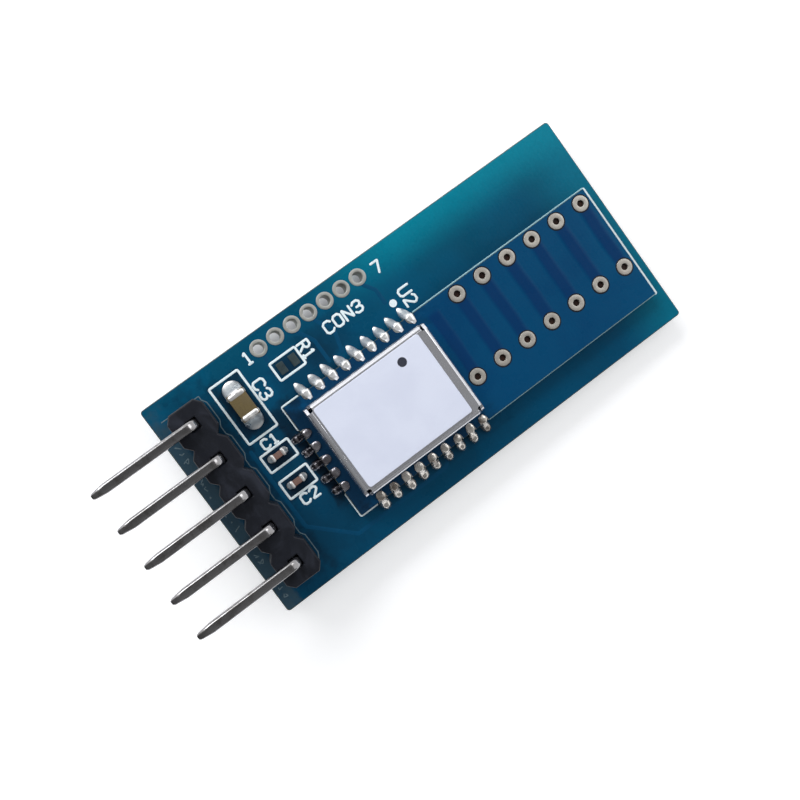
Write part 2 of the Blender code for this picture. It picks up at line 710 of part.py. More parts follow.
def capacitors(metal, solder):
    """The larger capacitor C3 across the board, and the two small ones along it."""
    up = BOARD_THICK + SEAT_GAP
    big = chip_meshes("c3", BIG_LENGTH, BIG_WIDTH, BIG_HEIGHT, BIG_TERMINAL, BIG_FILLET)
    olive = finish("olive_ceramic", (112, 98, 62), 0.45)
    big_place = spot(BIG_ALONG, BIG_ACROSS, up)
    place_chip("capacitor_c3", big, (olive, metal, solder), big_place, math.pi / 2)
    brown = finish("brown_ceramic", (128, 92, 78), 0.45)
    for name, across in (("c1", SMALL_UPPER_ACROSS), ("c2", SMALL_LOWER_ACROSS)):
        small = chip_meshes(name, SMALL_LENGTH, SMALL_WIDTH, SMALL_HEIGHT, SMALL_TERMINAL, SMALL_FILLET)
        small_place = spot(SMALL_ALONG, across, up)
        place_chip(f"capacitor_{name}", small, (brown, metal, solder), small_place, 0.0)


def crystal_mesh():
    """A crystal's package: a ceramic base with a smaller metal lid on it."""
    mesh = block("crystal", CRYSTAL_LENGTH, CRYSTAL_WIDTH, 0.0, CRYSTAL_BASE)
    shape = bmesh.new()
    shape.from_mesh(mesh)
    top = [face for face in shape.faces if face.normal.z > 0.9]
    bmesh.ops.inset_region(shape, faces=top, thickness=CRYSTAL_LID_INSET, use_even_offset=True)
    lid = bmesh.ops.extrude_face_region(shape, geom=top)["geom"]
    raised = [part for part in lid if isinstance(part, bmesh.types.BMVert)]
    bmesh.ops.translate(shape, verts=raised, vec=(0.0, 0.0, CRYSTAL_LID))
    bmesh.ops.delete(shape, geom=top, context="FACES")
    bmesh.ops.recalc_face_normals(shape, faces=shape.faces)
    shape.to_mesh(mesh)
    shape.free()
    return mesh


def parts_under_can(metal, dark):
    """The radio chip, its two crystals and the aerial's matching parts, on the module's board."""
    up = MODULE_TOP + SEAT_GAP
    inner_near = CAN_NEAR + CAN_SHEET + WALL_CLEARANCE
    inner_far = CAN_FAR - CAN_SHEET - WALL_CLEARANCE
    radio = block("radio_chip", RADIO_SIDE, RADIO_SIDE, 0.0, RADIO_HEIGHT, PACKAGE_BEVEL)
    piece("radio_chip", radio, dark, spot(inner_near + RADIO_SIDE / 2, MODULE_MIDDLE, up))
    crystal = crystal_mesh()
    along = inner_far - CRYSTAL_LENGTH / 2
    piece("crystal_radio", crystal, metal, spot(along, MODULE_MIDDLE + CRYSTAL_OFFSET, up))
    piece("crystal_clock", crystal, metal, spot(along, MODULE_MIDDLE - CRYSTAL_OFFSET, up))
    match = block("match", MATCH_LENGTH, MATCH_WIDTH, 0.0, MATCH_HEIGHT, PACKAGE_BEVEL)
    white = finish("match_ceramic", (205, 200, 190), 0.5)
    for name, offset in (("coil", MATCH_OFFSET), ("capacitor", -MATCH_OFFSET)):
        piece(f"match_{name}", match, white, spot(along, MODULE_MIDDLE + offset, up))


def build():
    """Model every piece."""
    clear_scene()
    metal = finish("tinned_metal", (205, 205, 208), 0.3, 1.0)
    solder = finish("solder", (222, 222, 225), 0.22, 1.0)
    gold = finish("header_metal", (188, 190, 196), 0.25, 1.0)
    black = finish("black_plastic", (32, 33, 38), 0.5)
    carrier_board(finish("carrier_mask", (16, 82, 108), 0.35))
    header_housing(black)
    header_pins(gold, solder)
    module_board(finish("module_mask", (16, 70, 118), 0.32))
    edge_joints(solder)
    shield_can(finish("can_sheet", (176, 178, 180), 0.3, 1.0))
    can_fillets(solder)
    can_label(finish("label_paper", (214, 218, 238), 0.55))
    capacitors(metal, solder)
    parts_under_can(metal, black)


build()
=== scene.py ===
"""Looks of a small radio module on its carrier board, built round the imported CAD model.

Everything is in metres, in the row's own frame: the origin is the centre of the carrier board's
underside, +X runs along the board away from the header, +Y across it and +Z up.
"""

import logging
import math
import random
from collections.abc import Iterable, Mapping, Sequence
from dataclasses import dataclass, field
from enum import Enum
from functools import cache
from itertools import pairwise
from typing import Any, ClassVar

import bmesh
import bpy
from bmesh.types import BMEdge, BMesh, BMFace, BMVert
from bpy.types import ID, Material, Mesh, Node, NodeSocket, NodeTree, Object
from mathutils import Matrix, Vector


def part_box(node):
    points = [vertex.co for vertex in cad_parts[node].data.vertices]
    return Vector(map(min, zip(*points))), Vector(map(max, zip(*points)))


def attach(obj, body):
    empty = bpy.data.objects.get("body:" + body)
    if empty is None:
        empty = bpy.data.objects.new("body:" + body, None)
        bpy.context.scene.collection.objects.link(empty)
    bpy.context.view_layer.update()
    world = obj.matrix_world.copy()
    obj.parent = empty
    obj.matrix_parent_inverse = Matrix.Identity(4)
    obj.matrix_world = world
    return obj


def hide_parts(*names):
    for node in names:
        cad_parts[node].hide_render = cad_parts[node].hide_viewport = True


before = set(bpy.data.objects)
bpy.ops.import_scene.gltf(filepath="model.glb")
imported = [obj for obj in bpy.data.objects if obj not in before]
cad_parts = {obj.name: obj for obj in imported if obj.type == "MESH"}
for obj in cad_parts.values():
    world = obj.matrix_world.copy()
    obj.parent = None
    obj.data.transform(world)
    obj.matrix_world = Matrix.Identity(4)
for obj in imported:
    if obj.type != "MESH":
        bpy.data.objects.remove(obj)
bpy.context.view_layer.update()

MM = 0.001
SMOOTH_ANGLE = 35.0
PART_ANGLE = 30.0
SOLDER_ANGLE = 50.0
OVERLAP = 0.01 * MM
PIN_COUNT = 5
BODY = "root"

WHITE = (1.0, 1.0, 1.0, 1.0)
BLACK = (0.0, 0.0, 0.0, 1.0)

Colour = tuple[float, float, float]
Place = tuple[float, float, float]
Point = tuple[float, float]
Loop = list[Point]
Ring = Sequence[Vector]

log = logging.getLogger("module_looks")


# Outlines in the plane

def arc(centre: Point, radius: float, start: float, end: float, steps: int) -> Loop:
    """Points along an arc from one angle in degrees to another, both ends included."""
    angles = [math.radians(start + (end - start) * step / steps) for step in range(steps + 1)]
    return [(centre[0] + radius * math.cos(a), centre[1] + radius * math.sin(a)) for a in angles]


def shares(steps: int) -> list[float]:
    """Equal steps from 0 to 1, both ends included."""
    return [step / steps for step in range(steps + 1)]


def circle(centre: Point, radius: float, sides: int = 40) -> Loop:
    """A closed circle of that many sides."""
    return arc(centre, radius, 0.0, 360.0, sides)[:-1]


def rectangle(low: Point, high: Point) -> Loop:
    """A closed rectangle between two corners."""
    return [low, (high[0], low[1]), high, (low[0], high[1])]


def corners_of(loop: Sequence[Point]) -> Iterable[tuple[Vector, Vector, Vector]]:
    """Each corner of a closed loop between the one before and the one after it."""
    points = [Vector(point) for point in loop]
    return zip([points[-1], *points[:-1]], points, [*points[1:], points[0]])


def softened(loop: Sequence[Point], radius: float, steps: int = 4) -> Loop:
    """A closed loop with each corner rounded.

    Args:
        loop: The corners.
        radius: How far from each corner the rounding starts, at most half of an edge.
        steps: Straight pieces in each rounding.

    Returns:
        The rounded loop.
    """
    rounded: Loop = []
    for before, corner, after in corners_of(loop):
        reach_back = min(radius, (before - corner).length / 2)
        reach_on = min(radius, (after - corner).length / 2)
        first = corner + (before - corner).normalized() * reach_back
        last = corner + (after - corner).normalized() * reach_on
        for share in shares(steps):
            point = first * (1 - share) ** 2 + corner * 2 * share * (1 - share) + last * share**2
            rounded.append((point.x, point.y))
    return rounded


def signed_area(loop: Sequence[Point]) -> float:
    """Twice the loop's area, above zero where it runs anticlockwise."""
    return sum(a[0] * b[1] - b[0] * a[1] for a, b in zip(loop, [*loop[1:], loop[0]]))


def inset(loop: Sequence[Point], distance: float) -> Loop:
    """A closed loop moved to its left.

    Args:
        loop: The corners.
        distance: How far each edge moves.

    Returns:
        The moved loop.
    """
    shifted: Loop = []
    for before, here, after in corners_of(loop):
        incoming = (here - before).normalized()
        outgoing = (after - here).normalized()
        left_in = Vector((-incoming.y, incoming.x))
        left_out = Vector((-outgoing.y, outgoing.x))
        shift = (left_in + left_out) / (1.0 + left_in.dot(left_out)) * distance
        shifted.append((here.x + shift.x, here.y + shift.y))
    return shifted


# Meshes

def shaded(mesh: Mesh, degrees: float = SMOOTH_ANGLE) -> Mesh:
    """Shades a mesh smooth.

    Args:
        mesh: The mesh.
        degrees: Edges sharper than this stay sharp.

    Returns:
        The same mesh.
    """
    mesh.shade_smooth()
    mesh.set_sharp_from_angle(angle=math.radians(degrees))
    return mesh


def plain_mesh(name: str, shape: BMesh) -> Mesh:
    """Turns a bmesh into a mesh and frees it.

    Args:
        name: Name of the mesh.
        shape: The bmesh.

    Returns:
        The mesh.
    """
    mesh = bpy.data.meshes.new(name)
    shape.to_mesh(mesh)
    shape.free()
    return mesh


def mesh_from(name: str, shape: BMesh, degrees: float = SMOOTH_ANGLE) -> Mesh:
    """Turns a bmesh, which is freed, into a shaded mesh whose faces point outwards."""
    bmesh.ops.recalc_face_normals(shape, faces=shape.faces)
    return shaded(plain_mesh(name, shape), degrees)


def add_band(shape: BMesh, first: Sequence[BMVert], second: Sequence[BMVert]) -> list[BMFace]:
    """Adds the faces between two closed rows of equally many points and returns them."""
    corners = zip(first, [*first[1:], first[0]], [*second[1:], second[0]], second)
    return [shape.faces.new(face) for face in corners]


def lofted(name: str, rings: Sequence[Ring], degrees: float = SMOOTH_ANGLE) -> Mesh:
    """A closed body through rings, capped at both ends.

    Args:
        name: Name of the mesh.
        rings: The rings, of equally many points.
        degrees: Edges sharper than this stay sharp.

    Returns:
        The mesh.
    """
    shape = bmesh.new()
    rows = [[shape.verts.new(point) for point in ring] for ring in rings]
    for low, high in pairwise(rows):
        add_band(shape, low, high)
    shape.faces.new(rows[0][::-1])
    shape.faces.new(rows[-1])
    return mesh_from(name, shape, degrees)


def revolved(name: str, profile: Sequence[Point], sides: int = 40) -> Mesh:
    """A ring turned about Z.

    Args:
        name: Name of the mesh.
        profile: Radius and height of each corner of its closed section, off the axis.
        sides: Number of sections.

    Returns:
        The mesh.
    """
    shape = bmesh.new()
    rows = []
    for side in range(sides):
        angle = 2 * math.pi * side / sides
        rows.append([
            shape.verts.new((radius * math.cos(angle), radius * math.sin(angle), height))
            for radius, height in profile
        ])
    for row, following in zip(rows, [*rows[1:], rows[0]]):
        add_band(shape, row, following)
    return mesh_from(name, shape)


def add_slab(
    shape: BMesh,
    outline: Sequence[Point],
    holes: Sequence[Sequence[Point]],
    levels: Sequence[Point],
) -> None:
    """Adds a flat body with holes through it to a bmesh.

    Its flat faces get material 0, its outer wall material 1 and its holes' walls material 2.

    Args:
        shape: The bmesh that is added to.
        outline: Outer edge.
        holes: Edges of the holes.
        levels: Height and inset of each step of the walls, from the lowest to the highest.
    """
    loops = [outline if signed_area(outline) > 0 else outline[::-1]]
    loops += [hole if signed_area(hole) < 0 else hole[::-1] for hole in holes]
    rims: tuple[list[BMEdge], list[BMEdge]] = ([], [])
    for index, loop in enumerate(loops):
        rows = [
            [shape.verts.new((x, y, height)) for x, y in inset(loop, depth)]
            for height, depth in levels
        ]
        for low, high in pairwise(rows):
            for face in add_band(shape, low, high):
                face.material_index = min(index, 1) + 1
        for rim, row in zip(rims, (rows[0], rows[-1])):
            rim += [shape.edges.get(pair) for pair in zip(row, [*row[1:], row[0]])]
    for rim in rims:
        bmesh.ops.triangle_fill(shape, edges=rim, use_beauty=True)


def slab(
    name: str,
    outline: Sequence[Point],
    base: float,
    top: float,
    chamfer: float = 0.0,
    holes: Sequence[Sequence[Point]] = (),
) -> Mesh:
    """A flat body with holes through it and chamfered rims.

    Args:
        name: Name of the mesh.
        outline: Outer edge.
        base: Height of its underside.
        top: Height of its top.
        chamfer: Size of the chamfer along every rim.
        holes: Edges of the holes.

    Returns:
        The mesh, with materials 0 on its flats, 1 on its outer wall and 2 in its holes.
    """
    levels = [(base, 0.0), (top, 0.0)]
    if chamfer:
        levels = [(base, chamfer), (base + chamfer, 0.0), (top - chamfer, 0.0), (top, chamfer)]
    shape = bmesh.new()
    add_slab(shape, outline, holes, levels)
    return mesh_from(name, shape)


def joined(name: str, meshes: Sequence[Mesh]) -> Mesh:
    """Several meshes as one.

    Args:
        name: Name of the new mesh.
        meshes: The meshes.

    Returns:
        The mesh that holds them all.
    """
    shape = bmesh.new()
    for mesh in meshes:
        shape.from_mesh(mesh)
    return plain_mesh(name, shape)


def moved(mesh: Mesh, place: Sequence[float], turn: float = 0.0) -> Mesh:
    """The mesh turned about Z by an angle in degrees and then moved to its place."""
    mesh.transform(Matrix.Translation(place) @ Matrix.Rotation(math.radians(turn), 4, "Z"))
    return mesh


def linked(name: str, data: ID) -> Object:
    """Puts a new object into the scene.

    Args:
        name: Its name.
        data: Its mesh, lamp or camera.

    Returns:
        The object.
    """
    item = bpy.data.objects.new(name, data)
    bpy.context.scene.collection.objects.link(item)
    return item


def applied(item: Object) -> Mesh:
    """Applies an object's modifiers and removes the object.

    Args:
        item: The object, which is in the scene.

    Returns:
        Its finished mesh.
    """
    bpy.context.view_layer.update()
    evaluated = item.evaluated_get(bpy.context.evaluated_depsgraph_get())
    mesh = bpy.data.meshes.new_from_object(evaluated)
    bpy.data.objects.remove(item)
    return mesh


def numbered(prefix: str, count: int) -> list[str]:
    """The names of CAD nodes that are numbered from 1."""
    return [f"{prefix}_{index}" for index in range(1, count + 1)]


@dataclass(frozen=True)
class Box:
    """The room that one or more CAD nodes take."""

    low: Vector
    high: Vector

    @classmethod
    def around(cls, *nodes: str) -> "Box":
        """The room of some CAD nodes together.

        Args:
            *nodes: Their names.

        Returns:
            The room.
        """
        corners = [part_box(node) for node in nodes]
        low = Vector([min(pair[0][axis] for pair in corners) for axis in range(3)])
        high = Vector([max(pair[1][axis] for pair in corners) for axis in range(3)])
        return cls(low, high)

    @property
    def centre(self) -> Vector:
        """Its middle."""
        return (self.low + self.high) / 2

    @property
    def size(self) -> Vector:
        """Its length, width and height."""
        return self.high - self.low

    @property
    def footprint(self) -> Loop:
        """Its rectangle seen from above."""
        return rectangle((self.low.x, self.low.y), (self.high.x, self.high.y))


# Node trees

class NodeBuilder:
    """Adds nodes to a tree, fills their inputs and joins them."""

    def __init__(self, tree: NodeTree) -> None:
        """Starts on a tree."""
        self.tree = tree

    def node(self, kind: str, inputs: Mapping[str | int, Any] | None = None, **settings: Any) -> Node:
        """Adds one node.

        Args:
            kind: Blender's name for the kind of node.
            inputs: A value, socket or node for each input, by name or index.
            **settings: Other properties of the node.

        Returns:
            The new node.
        """
        made = self.tree.nodes.new(kind)
        for name, value in settings.items():
            setattr(made, name, value)
        for key, value in (inputs or {}).items():
            self.feed(made.inputs[key], value)
        return made

    def feed(self, socket: NodeSocket, value: Any) -> None:
        """Fills an input.

        Args:
            socket: The input.
            value: Its value, or the socket or node (its first output) that is joined to it.
        """
        if isinstance(value, Node):
            value = value.outputs[0]
        if isinstance(value, NodeSocket):
            self.tree.links.new(value, socket)
        else:
            socket.default_value = value

    def math(self, operation: str, *values: Any) -> NodeSocket:
        """The result of a sum on numbers or sockets."""
        return self.node("ShaderNodeMath", dict(enumerate(values)), operation=operation).outputs[0]

    def vector(self, operation: str, *values: Any) -> NodeSocket:
        """The result of a sum on vectors or sockets."""
        return self.node("ShaderNodeVectorMath", dict(enumerate(values)), operation=operation).outputs[0]

    def axes(self, vector: NodeSocket) -> Sequence[NodeSocket]:
        """A vector's part along each axis."""
        return self.node("ShaderNodeSeparateXYZ", {0: vector}).outputs


class Recipe(NodeBuilder):
    """A Geometry Nodes tree with named inputs, which turns one mesh into another."""

    def __init__(self, name: str) -> None:
        """Starts a tree that takes and gives a geometry.

        Args:
            name: Name of the tree.
        """
        super().__init__(bpy.data.node_groups.new(name, "GeometryNodeTree"))
        for way in ("INPUT", "OUTPUT"):
            self.tree.interface.new_socket("Geometry", in_out=way, socket_type="NodeSocketGeometry")
        self.start = self.tree.nodes.new("NodeGroupInput")
        self.end = self.tree.nodes.new("NodeGroupOutput")

    def size(self, name: str, kind: str = "Float") -> NodeSocket:
        """Adds a named input of a kind and returns the socket that gives its value inside the tree."""
        self.tree.interface.new_socket(name, in_out="INPUT", socket_type=f"NodeSocket{kind}")
        return self.start.outputs[name]

    def close(self, geometry: Node) -> None:
        """Ends the tree: instances become real and the piece gets its material.

        Args:
            geometry: What the tree has made.
        """
        material = self.size("Material", "Material")
        real = self.node("GeometryNodeRealizeInstances", {0: geometry})
        painted = self.node("GeometryNodeSetMaterial", {"Geometry": real, "Material": material})
        self.feed(self.end.inputs[0], painted)

    def random(self, low: Any, high: Any, seed: Any) -> NodeSocket:
        """A number between two, different for each part."""
        inputs = {"Min": low, "Max": high, "Seed": seed}
        return self.node("FunctionNodeRandomValue", inputs).outputs["Value"]

    def made(self, name: str, source: Mesh, values: Mapping[str, Any]) -> Mesh:
        """Runs the tree on a mesh.

        Args:
            name: Name of the new mesh.
            source: The mesh that goes in.
            values: A value for each named input.

        Returns:
            The plain mesh that comes out.
        """
        item = linked(name, source)
        modifier = item.modifiers.new(self.tree.name, "NODES")
        modifier.node_group = self.tree
        for entry in self.tree.interface.items_tree:
            if entry.in_out == "INPUT" and entry.name in values:
                modifier[entry.identifier] = values[entry.name]
        mesh = applied(item)
        mesh.name = name
        return shaded(mesh)


@cache
def row_recipe() -> Recipe:
    """The tree that repeats one part along a row, each a little different where asked.

    Returns:
        The tree, built once.
    """
    recipe = Recipe("part_row")
    count = recipe.size("Count", "Int")
    start = recipe.size("Start", "Vector")
    step = recipe.size("Step", "Vector")
    turn = recipe.size("Turn")
    spread = recipe.size("Size spread")
    lean = recipe.size("Lean spread")
    wobble = recipe.size("Wobble")
    seed = recipe.size("Seed", "Int")
    points = {"Count": count, "Start Location": start, "Offset": step}
    line = recipe.node("GeometryNodeMeshLine", points, mode="OFFSET")
    turned = recipe.math("ADD", turn, recipe.random(recipe.math("MULTIPLY", lean, -1.0), lean, seed))
    euler = recipe.node("ShaderNodeCombineXYZ", {"Z": turned})
    rotation = recipe.node("FunctionNodeEulerToRotation", {0: euler})
    least, most = recipe.math("SUBTRACT", 1.0, spread), recipe.math("ADD", 1.0, spread)
    length, width = (recipe.random(least, most, recipe.math("ADD", seed, shift)) for shift in (1.0, 2.0))
    sizes = recipe.node("ShaderNodeCombineXYZ", {"X": length, "Y": width, "Z": 1.0})
    copies = {"Points": line, "Instance": recipe.start, "Rotation": rotation, "Scale": sizes}
    placed = recipe.node("GeometryNodeInstanceOnPoints", copies)
    real = recipe.node("GeometryNodeRealizeInstances", {0: placed})
    cloud = {"W": seed, "Scale": 2.2 / MM, "Detail": 1.0}
    noise = recipe.node("ShaderNodeTexNoise", cloud, noise_dimensions="4D")
    centred = recipe.vector("SUBTRACT", noise.outputs["Color"], (0.5, 0.5, 0.5))
    shift = recipe.node("ShaderNodeVectorMath", {0: centred, "Scale": wobble}, operation="SCALE")
    inputs = {"Geometry": real, "Offset": shift}
    recipe.close(recipe.node("GeometryNodeSetPosition", inputs))
    return recipe


@cache
def line_recipe() -> Recipe:
    """The tree that lays a low rounded line along every path, with rounded bends and ends.

    Returns:
        The tree, built once.
    """
    recipe = Recipe("laid_line")
    width = recipe.size("Width")
    height = recipe.size("Height")
    bend = recipe.size("Bend")
    curve = recipe.node("GeometryNodeMeshToCurve", {0: recipe.start})
    bends = {"Curve": curve, "Radius": bend, "Count": 3, "Limit Radius": True}
    rounded = recipe.node("GeometryNodeFilletCurve", bends, mode="POLY")
    upright = recipe.node("GeometryNodeSetCurveNormal", {"Curve": rounded}, mode="Z_UP")
    half = recipe.math("MULTIPLY", width, 0.5)
    profile = recipe.node("GeometryNodeCurvePrimitiveCircle", {"Resolution": 10, "Radius": half})
    flatness = recipe.math("DIVIDE", height, half)
    flat = recipe.node("ShaderNodeCombineXYZ", {"X": 1.0, "Y": flatness, "Z": 1.0})
    low = recipe.node("GeometryNodeTransform", {"Geometry": profile, "Scale": flat})
    sweep = {"Curve": upright, "Profile Curve": low, "Fill Caps": True}
    laid = recipe.node("GeometryNodeCurveToMesh", sweep)
    ends = recipe.node("GeometryNodeCurveEndpointSelection", {"Start Size": 1, "End Size": 1})
    ball = recipe.node("GeometryNodeMeshUVSphere", {"Segments": 10, "Rings": 5, "Radius": half})
    pressed = recipe.node("ShaderNodeCombineXYZ", {"X": 1.0, "Y": 1.0, "Z": flatness})
    caps = {"Points": rounded, "Selection": ends, "Instance": ball, "Scale": pressed}
    capped = recipe.node("GeometryNodeInstanceOnPoints", caps)
    both = recipe.node("GeometryNodeJoinGeometry")
    recipe.feed(both.inputs[0], laid)
    recipe.feed(both.inputs[0], capped)
    recipe.close(both)
    return recipe


# Finishes

def linear(colour: Colour) -> tuple[float, float, float, float]:
    """A colour in sRGB parts of 255 as Blender's linear colour."""
    parts = [part / 255 for part in colour]
    return (*(((part + 0.055) / 1.055) ** 2.4 for part in parts), 1.0)


class Painter(NodeBuilder):
    """A material's nodes, with short ways to the patterns that the finishes use."""

    def __init__(self, name: str) -> None:
        """Starts a material with one Principled shader.

        Args:
            name: Name of the material.
        """
        self.material = bpy.data.materials.new(name)
        self.material.use_nodes = True
        super().__init__(self.material.node_tree)
        self.shader = self.tree.nodes["Principled BSDF"]

    def place(self, stretch: Sequence[float] = (1.0, 1.0, 1.0)) -> NodeSocket:
        """Object coordinates in millimetres.

        Args:
            stretch: Factor along each axis.

        Returns:
            The coordinates.
        """
        where = self.node("ShaderNodeTexCoord").outputs["Object"]
        scale = [part / MM for part in stretch]
        return self.node("ShaderNodeMapping", {"Vector": where, "Scale": scale}).outputs[0]

    def noise(
        self, place: NodeSocket, scale: float, detail: float = 3.0, distortion: float = 0.0
    ) -> NodeSocket:
        """A cloudy pattern from 0 to 1, with its scale in clouds to the millimetre."""
        inputs = {"Vector": place, "Scale": scale, "Detail": detail, "Distortion": distortion}
        return self.node("ShaderNodeTexNoise", inputs).outputs[0]

    def spread(
        self, value: NodeSocket, source: Point, target: Point = (0.0, 1.0), smooth: bool = False
    ) -> NodeSocket:
        """A value taken from one range to another and kept inside it.

        Args:
            value: The value.
            source: Range that it comes from.
            target: Range that it goes to.
            smooth: Whether it eases in and out.

        Returns:
            The new value.
        """
        inputs = {0: value, 1: source[0], 2: source[1], 3: target[0], 4: target[1]}
        kind = "SMOOTHSTEP" if smooth else "LINEAR"
        return self.node("ShaderNodeMapRange", inputs, interpolation_type=kind).outputs[0]

    def blend(self, share: Any, first: Any, second: Any) -> NodeSocket:
        """One colour mixed into another.

        Args:
            share: How much of the second shows.
            first: Colour in parts of 255, or a socket.
            second: Colour in parts of 255, or a socket.

        Returns:
            The mixed colour.
        """
        colours = [
            value if isinstance(value, NodeSocket) else linear(value) for value in (first, second)
        ]
        mix = self.node("ShaderNodeMix", data_type="RGBA")
        for socket, value in zip((mix.inputs[0], mix.inputs[6], mix.inputs[7]), (share, *colours)):
            self.feed(socket, value)
        return mix.outputs[2]

    def bump(self, height: NodeSocket, depth: float, under: NodeSocket | None = None) -> NodeSocket:
        """A relief.

        Args:
            height: Its pattern.
            depth: Its depth in metres.
            under: Another relief, which it lies on.

        Returns:
            The normal.
        """
        node = self.node("ShaderNodeBump", {"Strength": 1.0, "Distance": depth, "Height": height})
        if under is not None:
            self.feed(node.inputs["Normal"], under)
        return node.outputs[0]

    def done(self, **inputs: Any) -> Material:
        """Fills the shader's inputs.

        Args:
            **inputs: A value for each input, named with underscores.

        Returns:
            The material.
        """
        for name, value in inputs.items():
            self.feed(self.shader.inputs[name.replace("_", " ")], value)
        return self.material


@dataclass(frozen=True)
class Finish:
    """A surface finish. Each kind below paints its own nodes."""

    name: str

    def paint(self) -> Material:
        """Builds the material."""
        raise NotImplementedError


@cache
def material_of(finish: Finish) -> Material:
    """The finish's material, built once."""
    return finish.paint()


@dataclass(frozen=True)
class ShadeAndCopperPatch:
    """A place of painted shade on the lacquer, partly darker copper under the parts: its middle, half its
    size and how much.

    The middle is in millimetres from the header end and from the lower long edge.
    """

    along: float
    across: float
    half_length: float
    half_width: float
    share: float
    tone: Colour = (14, 30, 46)


@dataclass(frozen=True)
class SolderMask(Finish):
    """Glossy blue-green lacquer over glass cloth, paler where no copper lies under it, with a painted sheen
    and painted shade in its colour.
    """

    deep: Colour
    pale: Colour
    # Colour of the painted sheen, a painted reflection towards the far end and the upper long edge.
    glow: Colour
    shade: Colour
    painted_sheen_share: float = 1.0
    roughness: Point = (0.24, 0.34)
    board_half: Point = (15.875, 7.62)
    shade_and_copper_patches: tuple[ShadeAndCopperPatch, ...] = ()
    copper: Colour | None = None
    copper_row: tuple[float, float, float, float] = (0.0, 2.0, 0.0, 1.0)

    def copper_strips(self, painter: Painter, place: NodeSocket) -> NodeSocket:
        """Where the aerial's copper lies under the lacquer.

        Args:
            painter: The material's painter.
            place: Coordinates in millimetres.

        Returns:
            The share, from 0 off the copper to 1 on it.
        """
        first, pitch, low, high = self.copper_row
        axes = painter.axes(place)
        stirred = painter.spread(painter.noise(place, 0.6, 2.0), (0.2, 0.8), (-0.06, 0.06))
        along = painter.math("ADD", painter.math("SUBTRACT", axes[0], first), stirred)
        away = painter.math("PINGPONG", along, pitch / 2)
        strip = painter.spread(away, (0.22, 0.56), (1.0, 0.0), smooth=True)
        begun = painter.spread(along, (-0.6, -0.3))
        above = painter.spread(axes[1], (low - 0.2, low + 0.2), smooth=True)
        below = painter.spread(axes[1], (high - 0.2, high + 0.2), (1.0, 0.0), smooth=True)
        band = painter.math("MULTIPLY", above, below)
        return painter.math("MULTIPLY", painter.math("MULTIPLY", strip, begun), band)

    def painted_edge_sheen(self, painter: Painter, place: NodeSocket) -> NodeSocket:
        """How much painted sheen, a painted reflection of the studio's light, lies on the lacquer.

        Args:
            painter: The material's painter.
            place: Coordinates in millimetres.

        Returns:
            The share, which grows towards the far end and the upper long edge.
        """
        axes = painter.axes(place)
        to_end = painter.math("SUBTRACT", self.board_half[0], axes[0])
        to_edge = painter.math("SUBTRACT", self.board_half[1], axes[1])
        end = painter.spread(to_end, (0.0, 4.8), (0.5, 0.0), smooth=True)
        edge = painter.spread(to_edge, (0.0, 3.0), (0.82, 0.0), smooth=True)
        wide = painter.spread(to_edge, (1.5, 5.6), (0.17, 0.0), smooth=True)
        begun = painter.spread(axes[0], (-4.5, 4.0), (0.12, 1.0), smooth=True)
        edge = painter.math("MULTIPLY", painter.math("ADD", edge, wide), begun)
        kept = painter.math("MULTIPLY", *(painter.math("SUBTRACT", 1.0, glow) for glow in (end, edge)))
        return painter.math("MULTIPLY", painter.math("SUBTRACT", 1.0, kept), self.painted_sheen_share)

    def with_shade_and_copper(self, painter: Painter, place: NodeSocket, colour: NodeSocket) -> NodeSocket:
        """The lacquer's colour with its painted shade, partly darker copper, on its top faces only.

        Args:
            painter: The material's painter.
            place: Coordinates in millimetres.
            colour: The colour so far.

        Returns:
            The colour with the painted shade in it.
        """
        ragged = painter.spread(painter.noise(place, 1.6, 3.0), (0.2, 0.8), (-0.25, 0.25))
        # Painted shade: darker round and under the parts and beside the can, on the top faces only.
        upper = painter.spread(painter.axes(place)[2], (0.6, 1.0))
        for patch in self.shade_and_copper_patches:
            middle = (patch.along - self.board_half[0], patch.across - self.board_half[1], 0.0)
            size = (1 / patch.half_length, 1 / patch.half_width, 0.0)
            away = painter.vector("MULTIPLY", painter.vector("SUBTRACT", place, middle), size)
            sides = painter.axes(painter.vector("ABSOLUTE", away))
            inside = painter.math("ADD", painter.math("MAXIMUM", sides[0], sides[1]), ragged)
            share = painter.spread(inside, (0.7, 1.25), (patch.share, 0.0), smooth=True)
            colour = painter.blend(painter.math("MULTIPLY", share, upper), colour, patch.tone)
        return colour

    def paint(self) -> Material:
        """Lacquer with copper shades, painted sheen, painted shade, weave and a faint orange peel.

        Returns:
            The material.
        """
        painter = Painter(self.name)
        place = painter.place()
        clouds = painter.spread(painter.noise(place, 0.22, 3.0, 0.4), (0.35, 0.68), smooth=True)
        colour = painter.blend(clouds, self.deep, self.pale)
        # Painted sheen: lighter towards the far end and the upper long edge.
        colour = painter.blend(self.painted_edge_sheen(painter, place), colour, self.glow)
        specks = painter.noise(place, 6.0, 5.0)
        colour = painter.blend(painter.spread(specks, (0.35, 0.8), (0.0, 0.16)), colour, self.shade)
        colour = self.with_shade_and_copper(painter, place, colour)
        relief = painter.bump(painter.noise(place, 2.4, 2.0), 0.006 * MM)
        if self.copper is not None:
            strips = self.copper_strips(painter, place)
            colour = painter.blend(strips, colour, self.copper)
            relief = painter.bump(strips, 0.02 * MM, relief)
        weave = {"Vector": place, "Scale": 1.15, "Distortion": 0.6}
        warp = painter.node("ShaderNodeTexWave", weave)
        weft = painter.node("ShaderNodeTexWave", weave, bands_direction="Y")
        cloth = painter.math("MULTIPLY", warp.outputs[1], weft.outputs[1])
        relief = painter.bump(cloth, 0.0015 * MM, relief)
        worn = painter.spread(painter.noise(place, 0.8, 5.0), (0.3, 0.7), self.roughness)
        return painter.done(Base_Color=colour, Roughness=worn, Normal=relief, Specular_IOR_Level=0.07)


